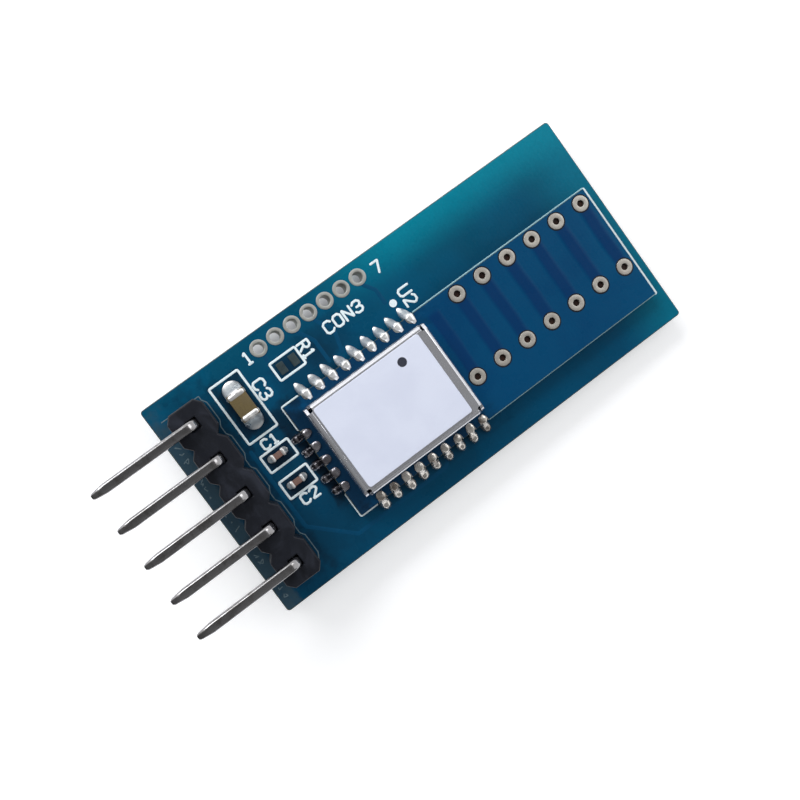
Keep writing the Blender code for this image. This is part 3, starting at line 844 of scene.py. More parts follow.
@dataclass(frozen=True)
class LaminateEdge(Finish):
    """The sawn edge of a glass cloth laminate, with its layers showing."""

    resin: Colour
    glass: Colour
    layer: float = 0.18

    def paint(self) -> Material:
        """Thin layers of glass in resin, broken along their length.

        Returns:
            The material.
        """
        painter = Painter(self.name)
        fibres = painter.noise(painter.place((0.5, 0.5, 1.0)), 2.0 / self.layer, 3.0)
        stretched = painter.noise(painter.place((0.06, 0.06, 1.0)), 1.0 / self.layer, 4.0)
        mixed = painter.math("MULTIPLY", painter.spread(fibres, (0.3, 0.7), (0.6, 1.0)), stretched)
        colour = painter.blend(painter.spread(mixed, (0.22, 0.56)), self.resin, self.glass)
        relief = painter.bump(stretched, 0.012 * MM)
        rough = painter.spread(fibres, (0.3, 0.7), (0.5, 0.75))
        return painter.done(Base_Color=colour, Roughness=rough, Normal=relief)


@dataclass(frozen=True)
class Metal(Finish):
    """A metal surface with stains, uneven gloss and a fine relief."""

    colour: Colour
    stain: Colour
    stain_share: float = 0.5
    roughness: Point = (0.15, 0.3)
    grain: float = 4.0
    relief: float = 0.004
    stretch: Place = (1.0, 1.0, 1.0)
    metallic: float = 1.0

    def paint(self) -> Material:
        """Clean metal with cloudy stains, and a relief stretched along its grain.

        Returns:
            The material.
        """
        painter = Painter(self.name)
        place = painter.place()
        along_grain = painter.place(self.stretch)
        clouds = painter.noise(place, self.grain * 0.3, 5.0, 0.5)
        share = painter.spread(clouds, (0.42, 0.72), (0.0, self.stain_share), smooth=True)
        colour = painter.blend(share, self.colour, self.stain)
        scratches = painter.noise(along_grain, self.grain, 5.0)
        gloss = painter.spread(painter.math("ADD", clouds, scratches), (0.75, 1.25), self.roughness)
        relief = painter.bump(scratches, self.relief * MM)
        return painter.done(Base_Color=colour, Roughness=gloss, Metallic=self.metallic, Normal=relief)


@dataclass(frozen=True)
class MouldedPlastic(Finish):
    """Glass-filled plastic from a spark-eroded mould."""

    colour: Colour
    scuffed: Colour
    roughness: Point = (0.38, 0.55)
    grain: float = 14.0

    def paint(self) -> Material:
        """Fine mould grain with pale flow marks.

        Returns:
            The material.
        """
        painter = Painter(self.name)
        place = painter.place()
        flow = painter.noise(painter.place((1.0, 0.5, 1.6)), 0.9, 4.0, 1.2)
        grain = painter.noise(place, self.grain, 3.0)
        marks = painter.spread(flow, (0.45, 0.75), (0.0, 0.7), smooth=True)
        colour = painter.blend(marks, self.colour, self.scuffed)
        colour = painter.blend(painter.spread(grain, (0.55, 0.8), (0.0, 0.35)), colour, self.scuffed)
        relief = painter.bump(grain, 0.004 * MM)
        relief = painter.bump(flow, 0.01 * MM, relief)
        rough = painter.spread(flow, (0.3, 0.7), self.roughness)
        return painter.done(Base_Color=colour, Roughness=rough, Normal=relief, Specular_IOR_Level=0.2)


@dataclass(frozen=True)
class LabelPaper(Finish):
    """Coated label stock with faint fibres under its coat."""

    colour: Colour
    tired: Colour

    def paint(self) -> Material:
        """Smooth paper, a little darker in broad soft clouds.

        Returns:
            The material.
        """
        painter = Painter(self.name)
        place = painter.place()
        clouds = painter.noise(place, 0.35, 3.0, 0.4)
        fibres = painter.noise(painter.place((1.0, 3.0, 1.0)), 7.0, 4.0)
        share = painter.spread(clouds, (0.35, 0.7), (0.0, 0.5), smooth=True)
        colour = painter.blend(share, self.colour, self.tired)
        colour = painter.blend(painter.spread(fibres, (0.55, 0.8), (0.0, 0.25)), colour, self.tired)
        relief = painter.bump(fibres, 0.003 * MM)
        relief = painter.bump(clouds, 0.02 * MM, relief)
        rough = painter.spread(fibres, (0.3, 0.7), (0.42, 0.56))
        return painter.done(Base_Color=colour, Roughness=rough, Normal=relief)


@dataclass(frozen=True)
class PrintedInk(Finish):
    """Screen-printed ink, a little thin in places."""

    colour: Colour
    thin: Colour
    thin_share: float = 0.6

    def paint(self) -> Material:
        """Ink with pinholes and a dull, grainy surface.

        Returns:
            The material.
        """
        painter = Painter(self.name)
        place = painter.place()
        grains = painter.noise(place, 9.0, 4.0)
        share = painter.spread(grains, (0.55, 0.78), (0.0, self.thin_share))
        colour = painter.blend(share, self.colour, self.thin)
        relief = painter.bump(grains, 0.004 * MM)
        rough = painter.spread(grains, (0.3, 0.7), (0.45, 0.7))
        return painter.done(Base_Color=colour, Roughness=rough, Normal=relief)


@dataclass(frozen=True)
class FiredCeramic(Finish):
    """The fired body of a chip part, with fine specks."""

    colour: Colour
    speck: Colour
    roughness: Point = (0.3, 0.5)

    def paint(self) -> Material:
        """Specks and a soft unevenness.

        Returns:
            The material.
        """
        painter = Painter(self.name)
        place = painter.place()
        specks = painter.node("ShaderNodeTexVoronoi", {"Vector": place, "Scale": 11.0}).outputs[0]
        clouds = painter.noise(place, 2.0, 4.0)
        colour = painter.blend(painter.spread(specks, (0.1, 0.45), (0.55, 0.0)), self.colour, self.speck)
        colour = painter.blend(painter.spread(clouds, (0.4, 0.75), (0.0, 0.4)), colour, self.speck)
        relief = painter.bump(clouds, 0.008 * MM)
        rough = painter.spread(clouds, (0.3, 0.7), self.roughness)
        return painter.done(Base_Color=colour, Roughness=rough, Normal=relief)


# Each lacquer's third colour is the colour of its painted sheen.
CARRIER_MASK = SolderMask(
    "carrier_mask", (1, 65, 94), (0, 72, 105), (0, 127, 150), (6, 54, 82),
    # Dark places: painted shade round and under the parts, partly darker copper.
    shade_and_copper_patches=(
        ShadeAndCopperPatch(5.2, 11.8, 1.0, 2.0, 0.8), ShadeAndCopperPatch(5.25, 8.1, 1.0, 0.6, 0.85), ShadeAndCopperPatch(5.25, 6.1, 1.0, 0.65, 0.85),
        ShadeAndCopperPatch(6.95, 6.3, 0.6, 2.8, 0.75), ShadeAndCopperPatch(7.0, 9.7, 0.7, 1.0, 0.6), ShadeAndCopperPatch(9.0, 12.4, 0.9, 0.6, 0.6),
        ShadeAndCopperPatch(11.7, 12.3, 1.7, 1.2, 0.3), ShadeAndCopperPatch(13.0, 1.7, 5.2, 0.5, 0.2), ShadeAndCopperPatch(2.6, 7.6, 1.4, 6.6, 0.5),
        ShadeAndCopperPatch(0.3, 6.6, 0.8, 7.4, 0.55, (70, 80, 80)), ShadeAndCopperPatch(9.7, 11.3, 2.0, 1.3, 0.35),
        ShadeAndCopperPatch(5.4, 5.2, 1.7, 4.8, 0.24),
    ),
)
MODULE_MASK = SolderMask(
    "module_mask", (2, 63, 103), (2, 69, 108), (8, 92, 130), (6, 50, 94), painted_sheen_share=0.35,
    # Dark places: painted shade beside the can and at the module's header end.
    shade_and_copper_patches=(
        ShadeAndCopperPatch(7.4, 6.2, 0.7, 4.4, 0.7), ShadeAndCopperPatch(12.5, 2.4, 4.6, 0.5, 0.6), ShadeAndCopperPatch(12.5, 9.9, 4.8, 0.6, 0.45),
    ),
    copper=(5, 52, 96), copper_row=(2.225, 2.0, -2.75, 2.0),
)
TRACK_UNDER_MASK = SolderMask(
    "track_under_mask", (8, 66, 98), (6, 72, 106), (8, 90, 118), (10, 50, 82), painted_sheen_share=0.4
)
LAMINATE = LaminateEdge("laminate_edge", (38, 52, 48), (84, 92, 74))
# Bright solder; the two below are darker copies of it: painted shade.
SOLDER = Metal(
    "bright_solder", (240, 240, 240), (206, 202, 194), 0.35, (0.26, 0.4), 3.0, 0.01, metallic=0.78
)
# A darker, beige copy of the solder for the lower edge's joints, which face away from the key lamp: painted
# shade.
SHADED_LOWER_SOLDER = Metal(
    "dull_solder", (226, 221, 214), (112, 100, 90), 0.85, (0.12, 0.28), 4.0, 0.045, metallic=0.88
)
# A darker, stained copy of the solder for the joints at the module's end, in the can's and module's shade:
# painted shade, partly a burnt stain.
SHADED_END_SOLDER = Metal("fluxed_solder", (176, 173, 179), (66, 62, 68), 0.75, (0.12, 0.26), 3.0, 0.02)
HOLE_PLATING = Metal("hole_plating", (184, 180, 173), (150, 143, 135), 0.5, (0.42, 0.58), 3.0, 0.004)
ROW_PLATING = Metal("row_plating", (182, 184, 180), (148, 145, 139), 0.5, (0.42, 0.58), 3.0, 0.004)
LAND_METAL = Metal("land_metal", (176, 178, 176), (120, 118, 110), 0.5, (0.25, 0.42), 3.0, 0.005)
BARE_LAMINATE = MouldedPlastic("bare_laminate", (10, 18, 30), (22, 30, 40), (0.5, 0.7), 8.0)
BARE_LAND = Metal("bare_land", (74, 88, 92), (48, 62, 68), 0.6, (0.4, 0.6), 4.0, 0.006)
PIN_METAL = Metal(
    "pin_plating", (158, 157, 159), (98, 94, 90), 0.55, (0.12, 0.2), 5.0, 0.0012, (0.12, 1.0, 1.0)
)
CAN_SHEET = Metal(
    "can_tinplate", (216, 217, 223), (194, 193, 192), 0.3, (0.15, 0.18), 1.6, 0.0002, (0.15, 1.0, 0.5), 0.82
)
END_METAL = Metal(
    "chip_end_tin", (236, 235, 234), (192, 180, 170), 0.4, (0.26, 0.4), 4.0, 0.006, metallic=0.75
)
LID_METAL = Metal("crystal_lid", (196, 190, 170), (150, 140, 110), 0.4, (0.2, 0.34), 5.0, 0.003)
HEADER_PLASTIC = MouldedPlastic("header_plastic", (22, 25, 33), (42, 46, 57))
CHIP_PLASTIC = MouldedPlastic("chip_plastic", (26, 26, 28), (48, 48, 50), (0.5, 0.68), 18.0)
PAPER = LabelPaper("label_paper", (221, 226, 243), (209, 214, 233))
DOT_INK = PrintedInk("label_dot_ink", (38, 42, 58), (70, 76, 92), 0.4)
WHITE_INK = PrintedInk("board_print", (228, 240, 244), (150, 186, 200))
# White print darkened as painted shade, for the print in the header's shade.
SHADED_INK = PrintedInk("faint_board_print", (82, 104, 114), (50, 80, 94), 0.8)
THIN_INK = PrintedInk("thin_board_print", (150, 190, 200), (96, 150, 168), 0.7)
# A dark brown plug for the aerial's holes: painted shade.
DARK_PLUG = MouldedPlastic("set_flux", (34, 16, 10), (58, 30, 18), (0.3, 0.5), 8.0)
OLIVE_CERAMIC = FiredCeramic("olive_ceramic", (104, 90, 56), (76, 64, 40))
BROWN_CERAMIC = FiredCeramic("brown_ceramic", (126, 96, 86), (90, 66, 58))
PALE_CERAMIC = FiredCeramic("pale_ceramic", (206, 200, 190), (176, 170, 160))


# Pieces

class Slot(Enum):
    """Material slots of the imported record, as far as dressed pieces take them."""

    CARRIER = "carrier_laminate"
    MODULE = "module_laminate"
    HEADER = "header_plastic"
    PIN = "pin_metal"
    SOLDER = "solder"
    CAN = "can_sheet"
    LABEL = "label_paper"
    CERAMIC = "ceramic"
    TERMINAL = "terminal_metal"


def show(
    name: str,
    mesh: Mesh,
    finishes: Sequence[Finish],
    slot: Slot | None = None,
    stands_for: Sequence[str] = (),
) -> Object:
    """Puts a finished mesh into the scene as a piece of the object.

    Args:
        name: Name of the piece.
        mesh: Its mesh, already in place.
        finishes: Its finishes, in the order of the mesh's material numbers.
        slot: Material slot of the record; not used.
        stands_for: CAD nodes that it replaces.

    Returns:
        The piece.
    """
    mesh.name = name
    numbers = [min(face.material_index, len(finishes) - 1) for face in mesh.polygons]
    mesh.materials.clear()
    for finish in finishes:
        mesh.materials.append(material_of(finish))
    mesh.polygons.foreach_set("material_index", numbers)
    item = linked(name, mesh)
    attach(item, BODY)
    if stands_for:
        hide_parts(*stands_for)
    return item


def row_of(
    name: str,
    part: Mesh,
    count: int,
    start: Sequence[float],
    step: Sequence[float],
    finish: Finish,
    **values: Any,
) -> Mesh:
    """Repeats a part along a row with the row tree.

    Args:
        name: Name of the new mesh.
        part: The part, about the origin.
        count: How many.
        start: Place of the first.
        step: Way from each to the next.
        finish: The parts' finish.
        **values: Other inputs of the tree, named with underscores.

    Returns:
        The row as one mesh.
    """
    inputs = {key.replace("_", " "): value for key, value in values.items()}
    inputs |= {"Count": count, "Start": tuple(start), "Step": tuple(step)}
    return row_recipe().made(name, part, inputs | {"Material": material_of(finish)})


def laid_lines(
    name: str,
    paths: Sequence[Sequence[Point]],
    level: float,
    width: float,
    height: float,
    finish: Finish,
    bend: float = 0.08 * MM,
) -> Mesh:
    """Lays lines along paths on a flat surface with the line tree.

    Args:
        name: Name of the new mesh.
        paths: Corner points of each line, closed where the last is the first.
        level: Height of the surface.
        width: Width of the lines.
        height: How far they stand above the surface.
        finish: Their finish.
        bend: Radius of their bends.

    Returns:
        The lines as one mesh.
    """
    shape = bmesh.new()
    for path in paths:
        closed = path[0] == path[-1]
        points = path[:-1] if closed else path
        corners = [shape.verts.new((x, y, level)) for x, y in points]
        for pair in pairwise(corners):
            shape.edges.new(pair)
        if closed:
            shape.edges.new((corners[-1], corners[0]))
    values = {"Width": width, "Height": height, "Bend": bend, "Material": material_of(finish)}
    return line_recipe().made(name, plain_mesh(name, shape), values)


@dataclass
class Lettering:
    """Short generic marks in the single-stroke letters of a board's print."""

    text: str
    start: Point
    height: float
    length: float
    downwards: bool = False

    STROKES: ClassVar = {
        "C": (((4, 5), (3, 6), (1, 6), (0, 5), (0, 1), (1, 0), (3, 0), (4, 1)),),
        "O": (((1, 0), (0, 1), (0, 5), (1, 6), (3, 6), (4, 5), (4, 1), (3, 0), (1, 0)),),
        "N": (((0, 0), (0, 6), (4, 0), (4, 6)),),
        "U": (((0, 6), (0, 1), (1, 0), (3, 0), (4, 1), (4, 6)),),
        "R": (((0, 0), (0, 6), (3, 6), (4, 5), (4, 4), (3, 3), (0, 3)), ((2, 3), (4, 0))),
        "1": (((1, 5), (2, 6), (2, 0)), ((1, 0), (3, 0))),
        "2": (((0, 5), (1, 6), (3, 6), (4, 5), (4, 4), (0, 0), (4, 0)),),
        "3": (
            ((0, 5), (1, 6), (3, 6), (4, 5), (4, 4), (3, 3), (4, 2), (4, 1), (3, 0), (1, 0), (0, 1)),
            ((3, 3), (1.5, 3)),
        ),
        "7": (((0, 6), (4, 6), (1.5, 0)),),
    }
    ADVANCE: ClassVar = 5.6
    LETTER_WIDTH: ClassVar = 4
    LETTER_HEIGHT: ClassVar = 6

    def paths(self) -> list[Loop]:
        """The strokes on the board.

        Returns:
            The corner points of each stroke.
        """
        across = self.length / (self.ADVANCE * (len(self.text) - 1) + self.LETTER_WIDTH)
        up = self.height / self.LETTER_HEIGHT
        paths = []
        for index, letter in enumerate(self.text):
            for stroke in self.STROKES[letter]:
                path = []
                for x, y in stroke:
                    forward, upward = (x + self.ADVANCE * index) * across, y * up
                    if self.downwards:
                        path.append((self.start[0] + upward, self.start[1] - forward))
                    else:
                        path.append((self.start[0] + forward, self.start[1] + upward))
                paths.append(path)
        return paths


@dataclass
class Studio:
    """Floor, lamps, reflection cards, backdrop and camera. None of it is part of the object."""

    eye: Place = (-11.98 * MM, 4.07 * MM, 69.87 * MM)
    aim: Place = (-2.524 * MM, -1.204 * MM, 1.6 * MM)
    up_angle: float = 53.62
    lens: float = 49.5
    sensor: float = 36.0
    floor_size: float = 3.0
    floor_whitens: Point = (70.0, 320.0)
    floor_glow: Point = (0.36, 1.0)
    shade_rim: Point = (0.7, 0.1)
    shade_under_board: float = 0.21
    even_light: float = 0.5

    LAMPS: ClassVar = (
        ("key_softbox", (-40.0, 190.0, 130.0), (170.0, 110.0), 0.38),
        ("far_softbox", (170.0, 40.0, 220.0), (110.0, 150.0), 0.14),
    )
    CARDS: ClassVar = (
        ("card_key", (-20.0, 200.0, 110.0), (320.0, 190.0), (0.95, 1.5)),
        ("card_above", (-6.0, -42.0, 178.0), (240.0, 275.0), (0.3, 0.12)),
        ("card_front", (-10.0, -170.0, 90.0), (320.0, 170.0), (0.1, 0.3)),
        ("card_header_end", (-170.0, -20.0, 90.0), (280.0, 230.0), (0.08, 0.2)),
    )

    def camera(self) -> None:
        """The camera at the photograph's place and angle."""
        data = bpy.data.cameras.new("photo_camera")
        data.lens = self.lens
        data.sensor_width = self.sensor
        data.clip_start = 1.0 * MM
        item = linked("photo_camera", data)
        eye = Vector(self.eye)
        back = (eye - Vector(self.aim)).normalized()
        angle = math.radians(self.up_angle)
        right = Vector((math.cos(angle), math.sin(angle), 0.0)).cross(back).normalized()
        turn = Matrix((right, back.cross(right), back)).transposed().to_4x4()
        item.matrix_world = Matrix.Translation(eye) @ turn
        bpy.context.scene.camera = item

    def sheet(
        self, name: str, place: Sequence[float], aim: Sequence[float], width: float, height: float
    ) -> Object:
        """A flat sheet that faces a point.

        Args:
            name: Its name.
            place: Its middle.
            aim: The point that it faces.
            width: Its width.
            height: Its height.

        Returns:
            The staged sheet.
        """
        shape = bmesh.new()
        corners = rectangle((-width / 2, -height / 2), (width / 2, height / 2))
        shape.faces.new([shape.verts.new((x, y, 0.0)) for x, y in corners])
        item = linked(name, plain_mesh(name, shape))
        facing = (Vector(aim) - Vector(place)).to_track_quat("Z", "Y").to_matrix().to_4x4()
        item.matrix_world = Matrix.Translation(place) @ facing
        return item

    def floor(self, foot: Vector, board: Box) -> None:
        """A pale floor through the header's legs and the board's far lower edge, with a painted shadow under
        the board.

        Args:
            foot: A point where the header's legs stand.
            board: The carrier board's room.
        """
        heel = Vector((board.high.x, 0.0, board.low.z))
        slope = math.atan2(heel.z - foot.z, heel.x - foot.x)
        normal = Vector((-math.sin(slope), 0.0, math.cos(slope)))
        item = self.sheet("floor", foot, foot + normal, self.floor_size, self.floor_size)
        painter = Painter("pale_floor")
        path = painter.node("ShaderNodeLightPath")
        seen = painter.math("MAXIMUM", path.outputs["Is Camera Ray"], path.outputs["Is Glossy Ray"])
        place = painter.place()
        away = painter.node("ShaderNodeVectorMath", {0: place}, operation="LENGTH").outputs["Value"]
        glow = painter.math("MULTIPLY", seen, painter.spread(away, self.floor_whitens, self.floor_glow))
        # Painted shadow: the floor's glow is cut under the carrier board, with a soft rim.
        middle = item.matrix_world.inverted() @ board.centre / MM
        room = item.matrix_world.to_3x3().inverted() @ board.size / MM / 2
        sides = painter.axes(painter.vector("ABSOLUTE", painter.vector("SUBTRACT", place, middle)))
        inner, outer = self.shade_rim
        beside = [
            painter.spread(side, (abs(half) - inner, abs(half) - outer), smooth=True)
            for side, half in zip(sides, room[:2])
        ]
        outside = painter.math("MAXIMUM", *beside)
        shaded_floor = painter.spread(outside, (0.0, 1.0), (self.shade_under_board, 1.0))
        grain = painter.spread(painter.noise(place, 0.08, 2.0), (0.3, 0.7))
        material = painter.done(
            Base_Color=painter.blend(grain, (238, 238, 240), (240, 240, 241)),
            Roughness=0.9,
            Emission_Color=WHITE,
            Emission_Strength=painter.math("MULTIPLY", glow, shaded_floor),
        )
        item.data.materials.append(material)

    def card(self, name: str, place: Place, size: Point, light: Point) -> None:
        """A card that only mirrors see, for the dark and the pale in polished metal.

        Args:
            name: Its name.
            place: Its middle, in millimetres.
            size: Its width and height, in millimetres.
            light: How bright its lower and its upper edge are.
        """
        middle = [part * MM for part in place]
        width, height = size
        item = self.sheet(name, middle, (0.0, 0.0, 0.0), width * MM, height * MM)
        painter = Painter(name)
        level = painter.spread(painter.axes(painter.place())[1], (-height / 2, height / 2), light)
        glow = {"Emission_Color": WHITE, "Emission_Strength": level}
        material = painter.done(Base_Color=BLACK, Roughness=1.0, Specular_IOR_Level=0.0, **glow)
        item.data.materials.append(material)
        item.visible_camera = False
        item.visible_diffuse = False
        item.visible_shadow = False
        item.visible_transmission = False

    def lamp(self, name: str, place: Place, size: Point, power: float) -> None:
        """A white softbox that faces the object.

        Args:
            name: Its name.
            place: Its middle, in millimetres.
            size: Its width and height, in millimetres.
            power: Its power in watts.
        """
        data = bpy.data.lights.new(name, "AREA")
        data.shape = "RECTANGLE"
        data.size, data.size_y = (part * MM for part in size)
        data.energy = power
        item = linked(name, data)
        middle = Vector([part * MM for part in place])
        item.matrix_world = Matrix.Translation(middle) @ middle.to_track_quat("Z", "Y").to_matrix().to_4x4()
        item.visible_camera = False

    def backdrop(self) -> None:
        """A white world to the camera and in mirrors, and a soft even light on the object."""
        world = bpy.data.worlds.new("backdrop")
        bpy.context.scene.world = world
        world.use_nodes = True
        builder = NodeBuilder(world.node_tree)
        world.node_tree.nodes.clear()
        path = builder.node("ShaderNodeLightPath")
        seen = builder.math("MAXIMUM", path.outputs["Is Camera Ray"], path.outputs["Is Glossy Ray"])
        seen = builder.math("MAXIMUM", seen, path.outputs["Is Transmission Ray"])
        sky = {"Color": (0.96, 0.98, 1.0, 1.0), "Strength": self.even_light}
        even = builder.node("ShaderNodeBackground", sky)
        white = builder.node("ShaderNodeBackground", {"Color": WHITE, "Strength": 1.0})
        mix = builder.node("ShaderNodeMixShader", {0: seen, 1: even, 2: white})
        builder.node("ShaderNodeOutputWorld", {"Surface": mix})

    def build(self, foot: Vector, board: Box) -> None:
        """Sets the whole studio up round the object.

        Args:
            foot: A point where the header's legs stand.
            board: The carrier board's room.
        """
        self.floor(foot, board)
        self.backdrop()
        for lamp in self.LAMPS:
            self.lamp(*lamp)
        for card in self.CARDS:
            self.card(*card)
        self.camera()
        bpy.context.scene.view_settings.view_transform = "Standard"


@dataclass
class CarrierBoard:
    """The carrier board with its holes, lands, tracks and print."""

    chamfer: float = 0.05 * MM
    corner: float = 0.25 * MM
    copper: float = 0.035 * MM
    pin_hole: float = 0.5525 * MM
    pin_ring: float = 0.32 * MM
    row_count: int = 7
    row_pitch: float = 1.27 * MM
    row_hole: float = 0.75 * MM
    row_ring: float = 0.18 * MM
    row_start: float = 8.11 * MM
    row_inset: float = 1.04 * MM
    print_width: float = 0.14 * MM
    print_height: float = 0.02 * MM
    dot_place: Point = (16.6, 11.57)
    dot_radius: float = 0.25 * MM
    dot_chamfer: float = 0.008 * MM
    word_bend: float = 0.02 * MM
    shaded_mark_bend: float = 0.03 * MM
    land_corner: float = 0.06 * MM
    track_width: float = 0.26 * MM
    lower_track_width: float = 0.4 * MM
    track_height: float = 0.008 * MM
    track_bend: float = 0.3 * MM
    pins: list[Box] = field(init=False)
    box: Box = field(init=False)

    PIN_PITCH: ClassVar = 2.54
    MARK_SEED: ClassVar = 12
    PRINTED_BOXES: ClassVar = (
        ((4.15, 9.72), (6.28, 13.9)),
        ((4.2, 7.5), (6.25, 8.7)),
        ((4.2, 5.5), (6.25, 6.75)),
        ((8.05, 11.75), (9.95, 13.0)),
    )
    MODULE_CORNERS: ClassVar = (
        ((7.1, 8.7), (7.1, 10.4), (8.3, 10.4)),
        ((7.1, 3.7), (7.1, 2.03), (8.3, 2.03)),
    )
    SIDE_LINES: ClassVar = (((17.3, 2.05), (31.1, 2.05)), ((17.3, 10.39), (31.1, 10.39)))
    END_LINE: ClassVar = ((31.13, 2.08), (31.13, 10.3))
    WORDS: ClassVar = (
        ("C3", (6.45, 12.65), 0.75, 1.25, True),
        ("C1", (4.75, 8.86), 0.62, 1.05, False),
        ("C2", (4.72, 4.68), 0.66, 1.15, False),
        ("R1", (10.1, 12.95), 0.75, 1.05, True),
        ("CON3", (12.15, 12.35), 0.75, 2.75, False),
        ("1", (6.95, 13.72), 0.78, 0.5, False),
        ("7", (16.88, 13.66), 0.72, 0.5, False),
        ("U2", (17.25, 12.05), 0.8, 1.2, True),
    )
    TRACKS: ClassVar = (
        ((3.95, 9.3), (3.95, 3.6), (6.3, 1.25), (13.2, 1.25), (14.1, 2.1)),
        ((8.11, 13.6), (8.11, 13.2)),
        ((10.65, 13.6), (11.2, 12.6), (11.2, 11.0)),
        ((11.92, 13.6), (12.62, 12.5), (12.2, 11.0)),
        ((15.73, 13.6), (16.2, 12.9), (16.2, 11.9)),
        ((6.5, 6.1), (7.3, 6.1)),
        ((6.5, 8.1), (7.3, 8.0)),
    )
    LOWER_TRACK_ENDS: ClassVar = ((0, 6.0, 2.4), (1, 8.2, 3.2), (2, 8.6, 5.2), (4, 7.4, 12.2))
    EMPTY_LANDS: ClassVar = (((8.32, 11.98), (8.82, 12.76)), ((9.22, 11.98), (9.72, 12.76)))

    def __post_init__(self) -> None:
        """Takes the board's room and its pins' places from the frame."""
        self.box = Box.around("carrier_board")
        self.pins = [Box.around(name) for name in numbered("header_joint", PIN_COUNT)]

    def spot(self, along: float, across: float) -> Point:
        """The point this many millimetres from the header end and from the lower long edge."""
        return (self.box.low.x + along * MM, self.box.low.y + across * MM)

    def path(self, corners: Sequence[Point]) -> Loop:
        """The path through points that are given in the same way."""
        return [self.spot(*corner) for corner in corners]

    def board_mesh(self) -> Mesh:
        """The drilled laminate with its chamfered rim.

        Returns:
            The board's mesh.
        """
        low, high = self.box.low, self.box.high
        outline = softened(self.box.footprint, self.corner)
        holes = [circle((pin.centre.x, pin.centre.y), self.pin_hole) for pin in self.pins]
        for index in range(self.row_count):
            centre = (low.x + self.row_start + self.row_pitch * index, high.y - self.row_inset)
            holes.append(circle(centre, self.row_hole / 2))
        return slab("carrier", outline, low.z, high.z, self.chamfer, holes)

    def plated_hole(self, radius: float, ring: float, low: float, high: float) -> Mesh:
        """The plating of one hole about the Z axis, with a ring on both faces.

        Args:
            radius: Radius of the bare hole.
            ring: Width of its rings.
            low: Height of the board's underside.
            high: Height of its top.

        Returns:
            The plating as one closed ring.
        """
        wall = radius - self.copper
        rim = radius + ring
        profile = [
            (wall, low - self.copper), (rim, low - self.copper), (rim, low + self.copper),
            (radius, low + self.copper), (radius, high - self.copper), (rim, high - self.copper),
            (rim, high + self.copper), (wall, high + self.copper),
        ]
        return revolved("plated_hole", softened(profile, self.copper * 0.8, 3))

    def holes(self) -> list[Object]:
        """The plating of the row beside the module and of the header's holes.

        Returns:
            The two pieces.
        """
        low, high = self.box.low, self.box.high
        ring = self.plated_hole(self.row_hole / 2, self.row_ring, low.z, high.z)
        start, step = (low.x + self.row_start, high.y - self.row_inset, 0.0), (self.row_pitch, 0.0, 0.0)
        row = row_of("row_hole_plating", ring, self.row_count, start, step, ROW_PLATING)
        pad = self.plated_hole(self.pin_hole, self.pin_ring, low.z, high.z)
        first, second = self.pins[0].centre, self.pins[1].centre
        start, step = (first.x, first.y, 0.0), (0.0, second.y - first.y, 0.0)
        pads = row_of("header_pads", pad, len(self.pins), start, step, LAND_METAL)
        return [show("row_hole_plating", row, [ROW_PLATING]), show("header_pads", pads, [LAND_METAL])]

    def print_paths(self) -> list[Loop]:
        """The printed boxes and the corner marks round the module."""
        loops = [rectangle(*self.path(corners)) for corners in self.PRINTED_BOXES]
        return [[*loop, loop[0]] for loop in loops] + [self.path(line) for line in self.MODULE_CORNERS]

    def header_paths(self) -> list[Loop]:
        """The faint printed line round the header strip, in the darker ink of painted shade.

        Returns:
            Its corner points.
        """
        spot = self.spot
        near, far = 3.42, 3.62
        line = [spot(0.7, 13.95), spot(near, 13.95)]
        for index in range(len(self.pins)):
            high = 13.97 - self.PIN_PITCH * index
            line += [spot(near, high - 0.3), spot(far, high - 0.6)]
            line += [spot(far, high - 1.94), spot(near, high - 2.3)]
        return [line]

    def shaded_marks(self) -> list[Loop]:
        """Faint strokes beside each pin, which spell nothing, in the darker ink of painted shade.

        Returns:
            The corner points of each stroke.
        """
        paths = []
        dice = random.Random(self.MARK_SEED)
        for index in range(len(self.pins)):
            for shift in (-0.62, -0.12, 0.38):
                across = self.PIN_PITCH * (index + 0.5) + 0.12 + shift
                corners = [(dice.uniform(0.3, 0.74), across + dice.uniform(0.0, 0.34)) for _ in range(4)]
                paths.append([self.spot(*corner) for corner in corners])
        return paths

    def lettering(self) -> list[Loop]:
        """The part numbers of the places on the board, which any board has.

        Returns:
            The corner points of each stroke.
        """
        paths = []
        for text, place, height, length, downwards in self.WORDS:
            word = Lettering(text, self.spot(*place), height * MM, length * MM, downwards)
            paths += word.paths()
        return paths

    def lower_tracks(self) -> list[Loop]:
        """The copper tracks on the board's underside, from the header towards the module.

        Returns:
            The corner points of each track.
        """
        tracks = []
        for turn, (index, far, across) in enumerate(self.LOWER_TRACK_ENDS):
            pin = self.PIN_PITCH * (index + 0.5)
            tracks.append([self.spot(2.2, pin), self.spot(4.4 + 0.5 * turn, pin), self.spot(far, across)])
        return tracks

    def lands(self) -> Mesh:
        """The two empty lands of R1.

        Returns:
            Their mesh.
        """
        top = self.box.high.z
        lands = []
        for corners in self.EMPTY_LANDS:
            outline = softened(rectangle(*self.path(corners)), self.land_corner)
            lands.append(slab("land", outline, top - self.copper, top + self.copper, self.copper / 2))
        return joined("empty_lands", lands)

    def printed_dot(self) -> Mesh:
        """The printed dot at the module's first joint.

        Returns:
            Its mesh.
        """
        outline = circle(self.spot(*self.dot_place), self.dot_radius)
        top = self.box.high.z
        return slab("dot", outline, top - self.print_height, top + self.print_height, self.dot_chamfer)

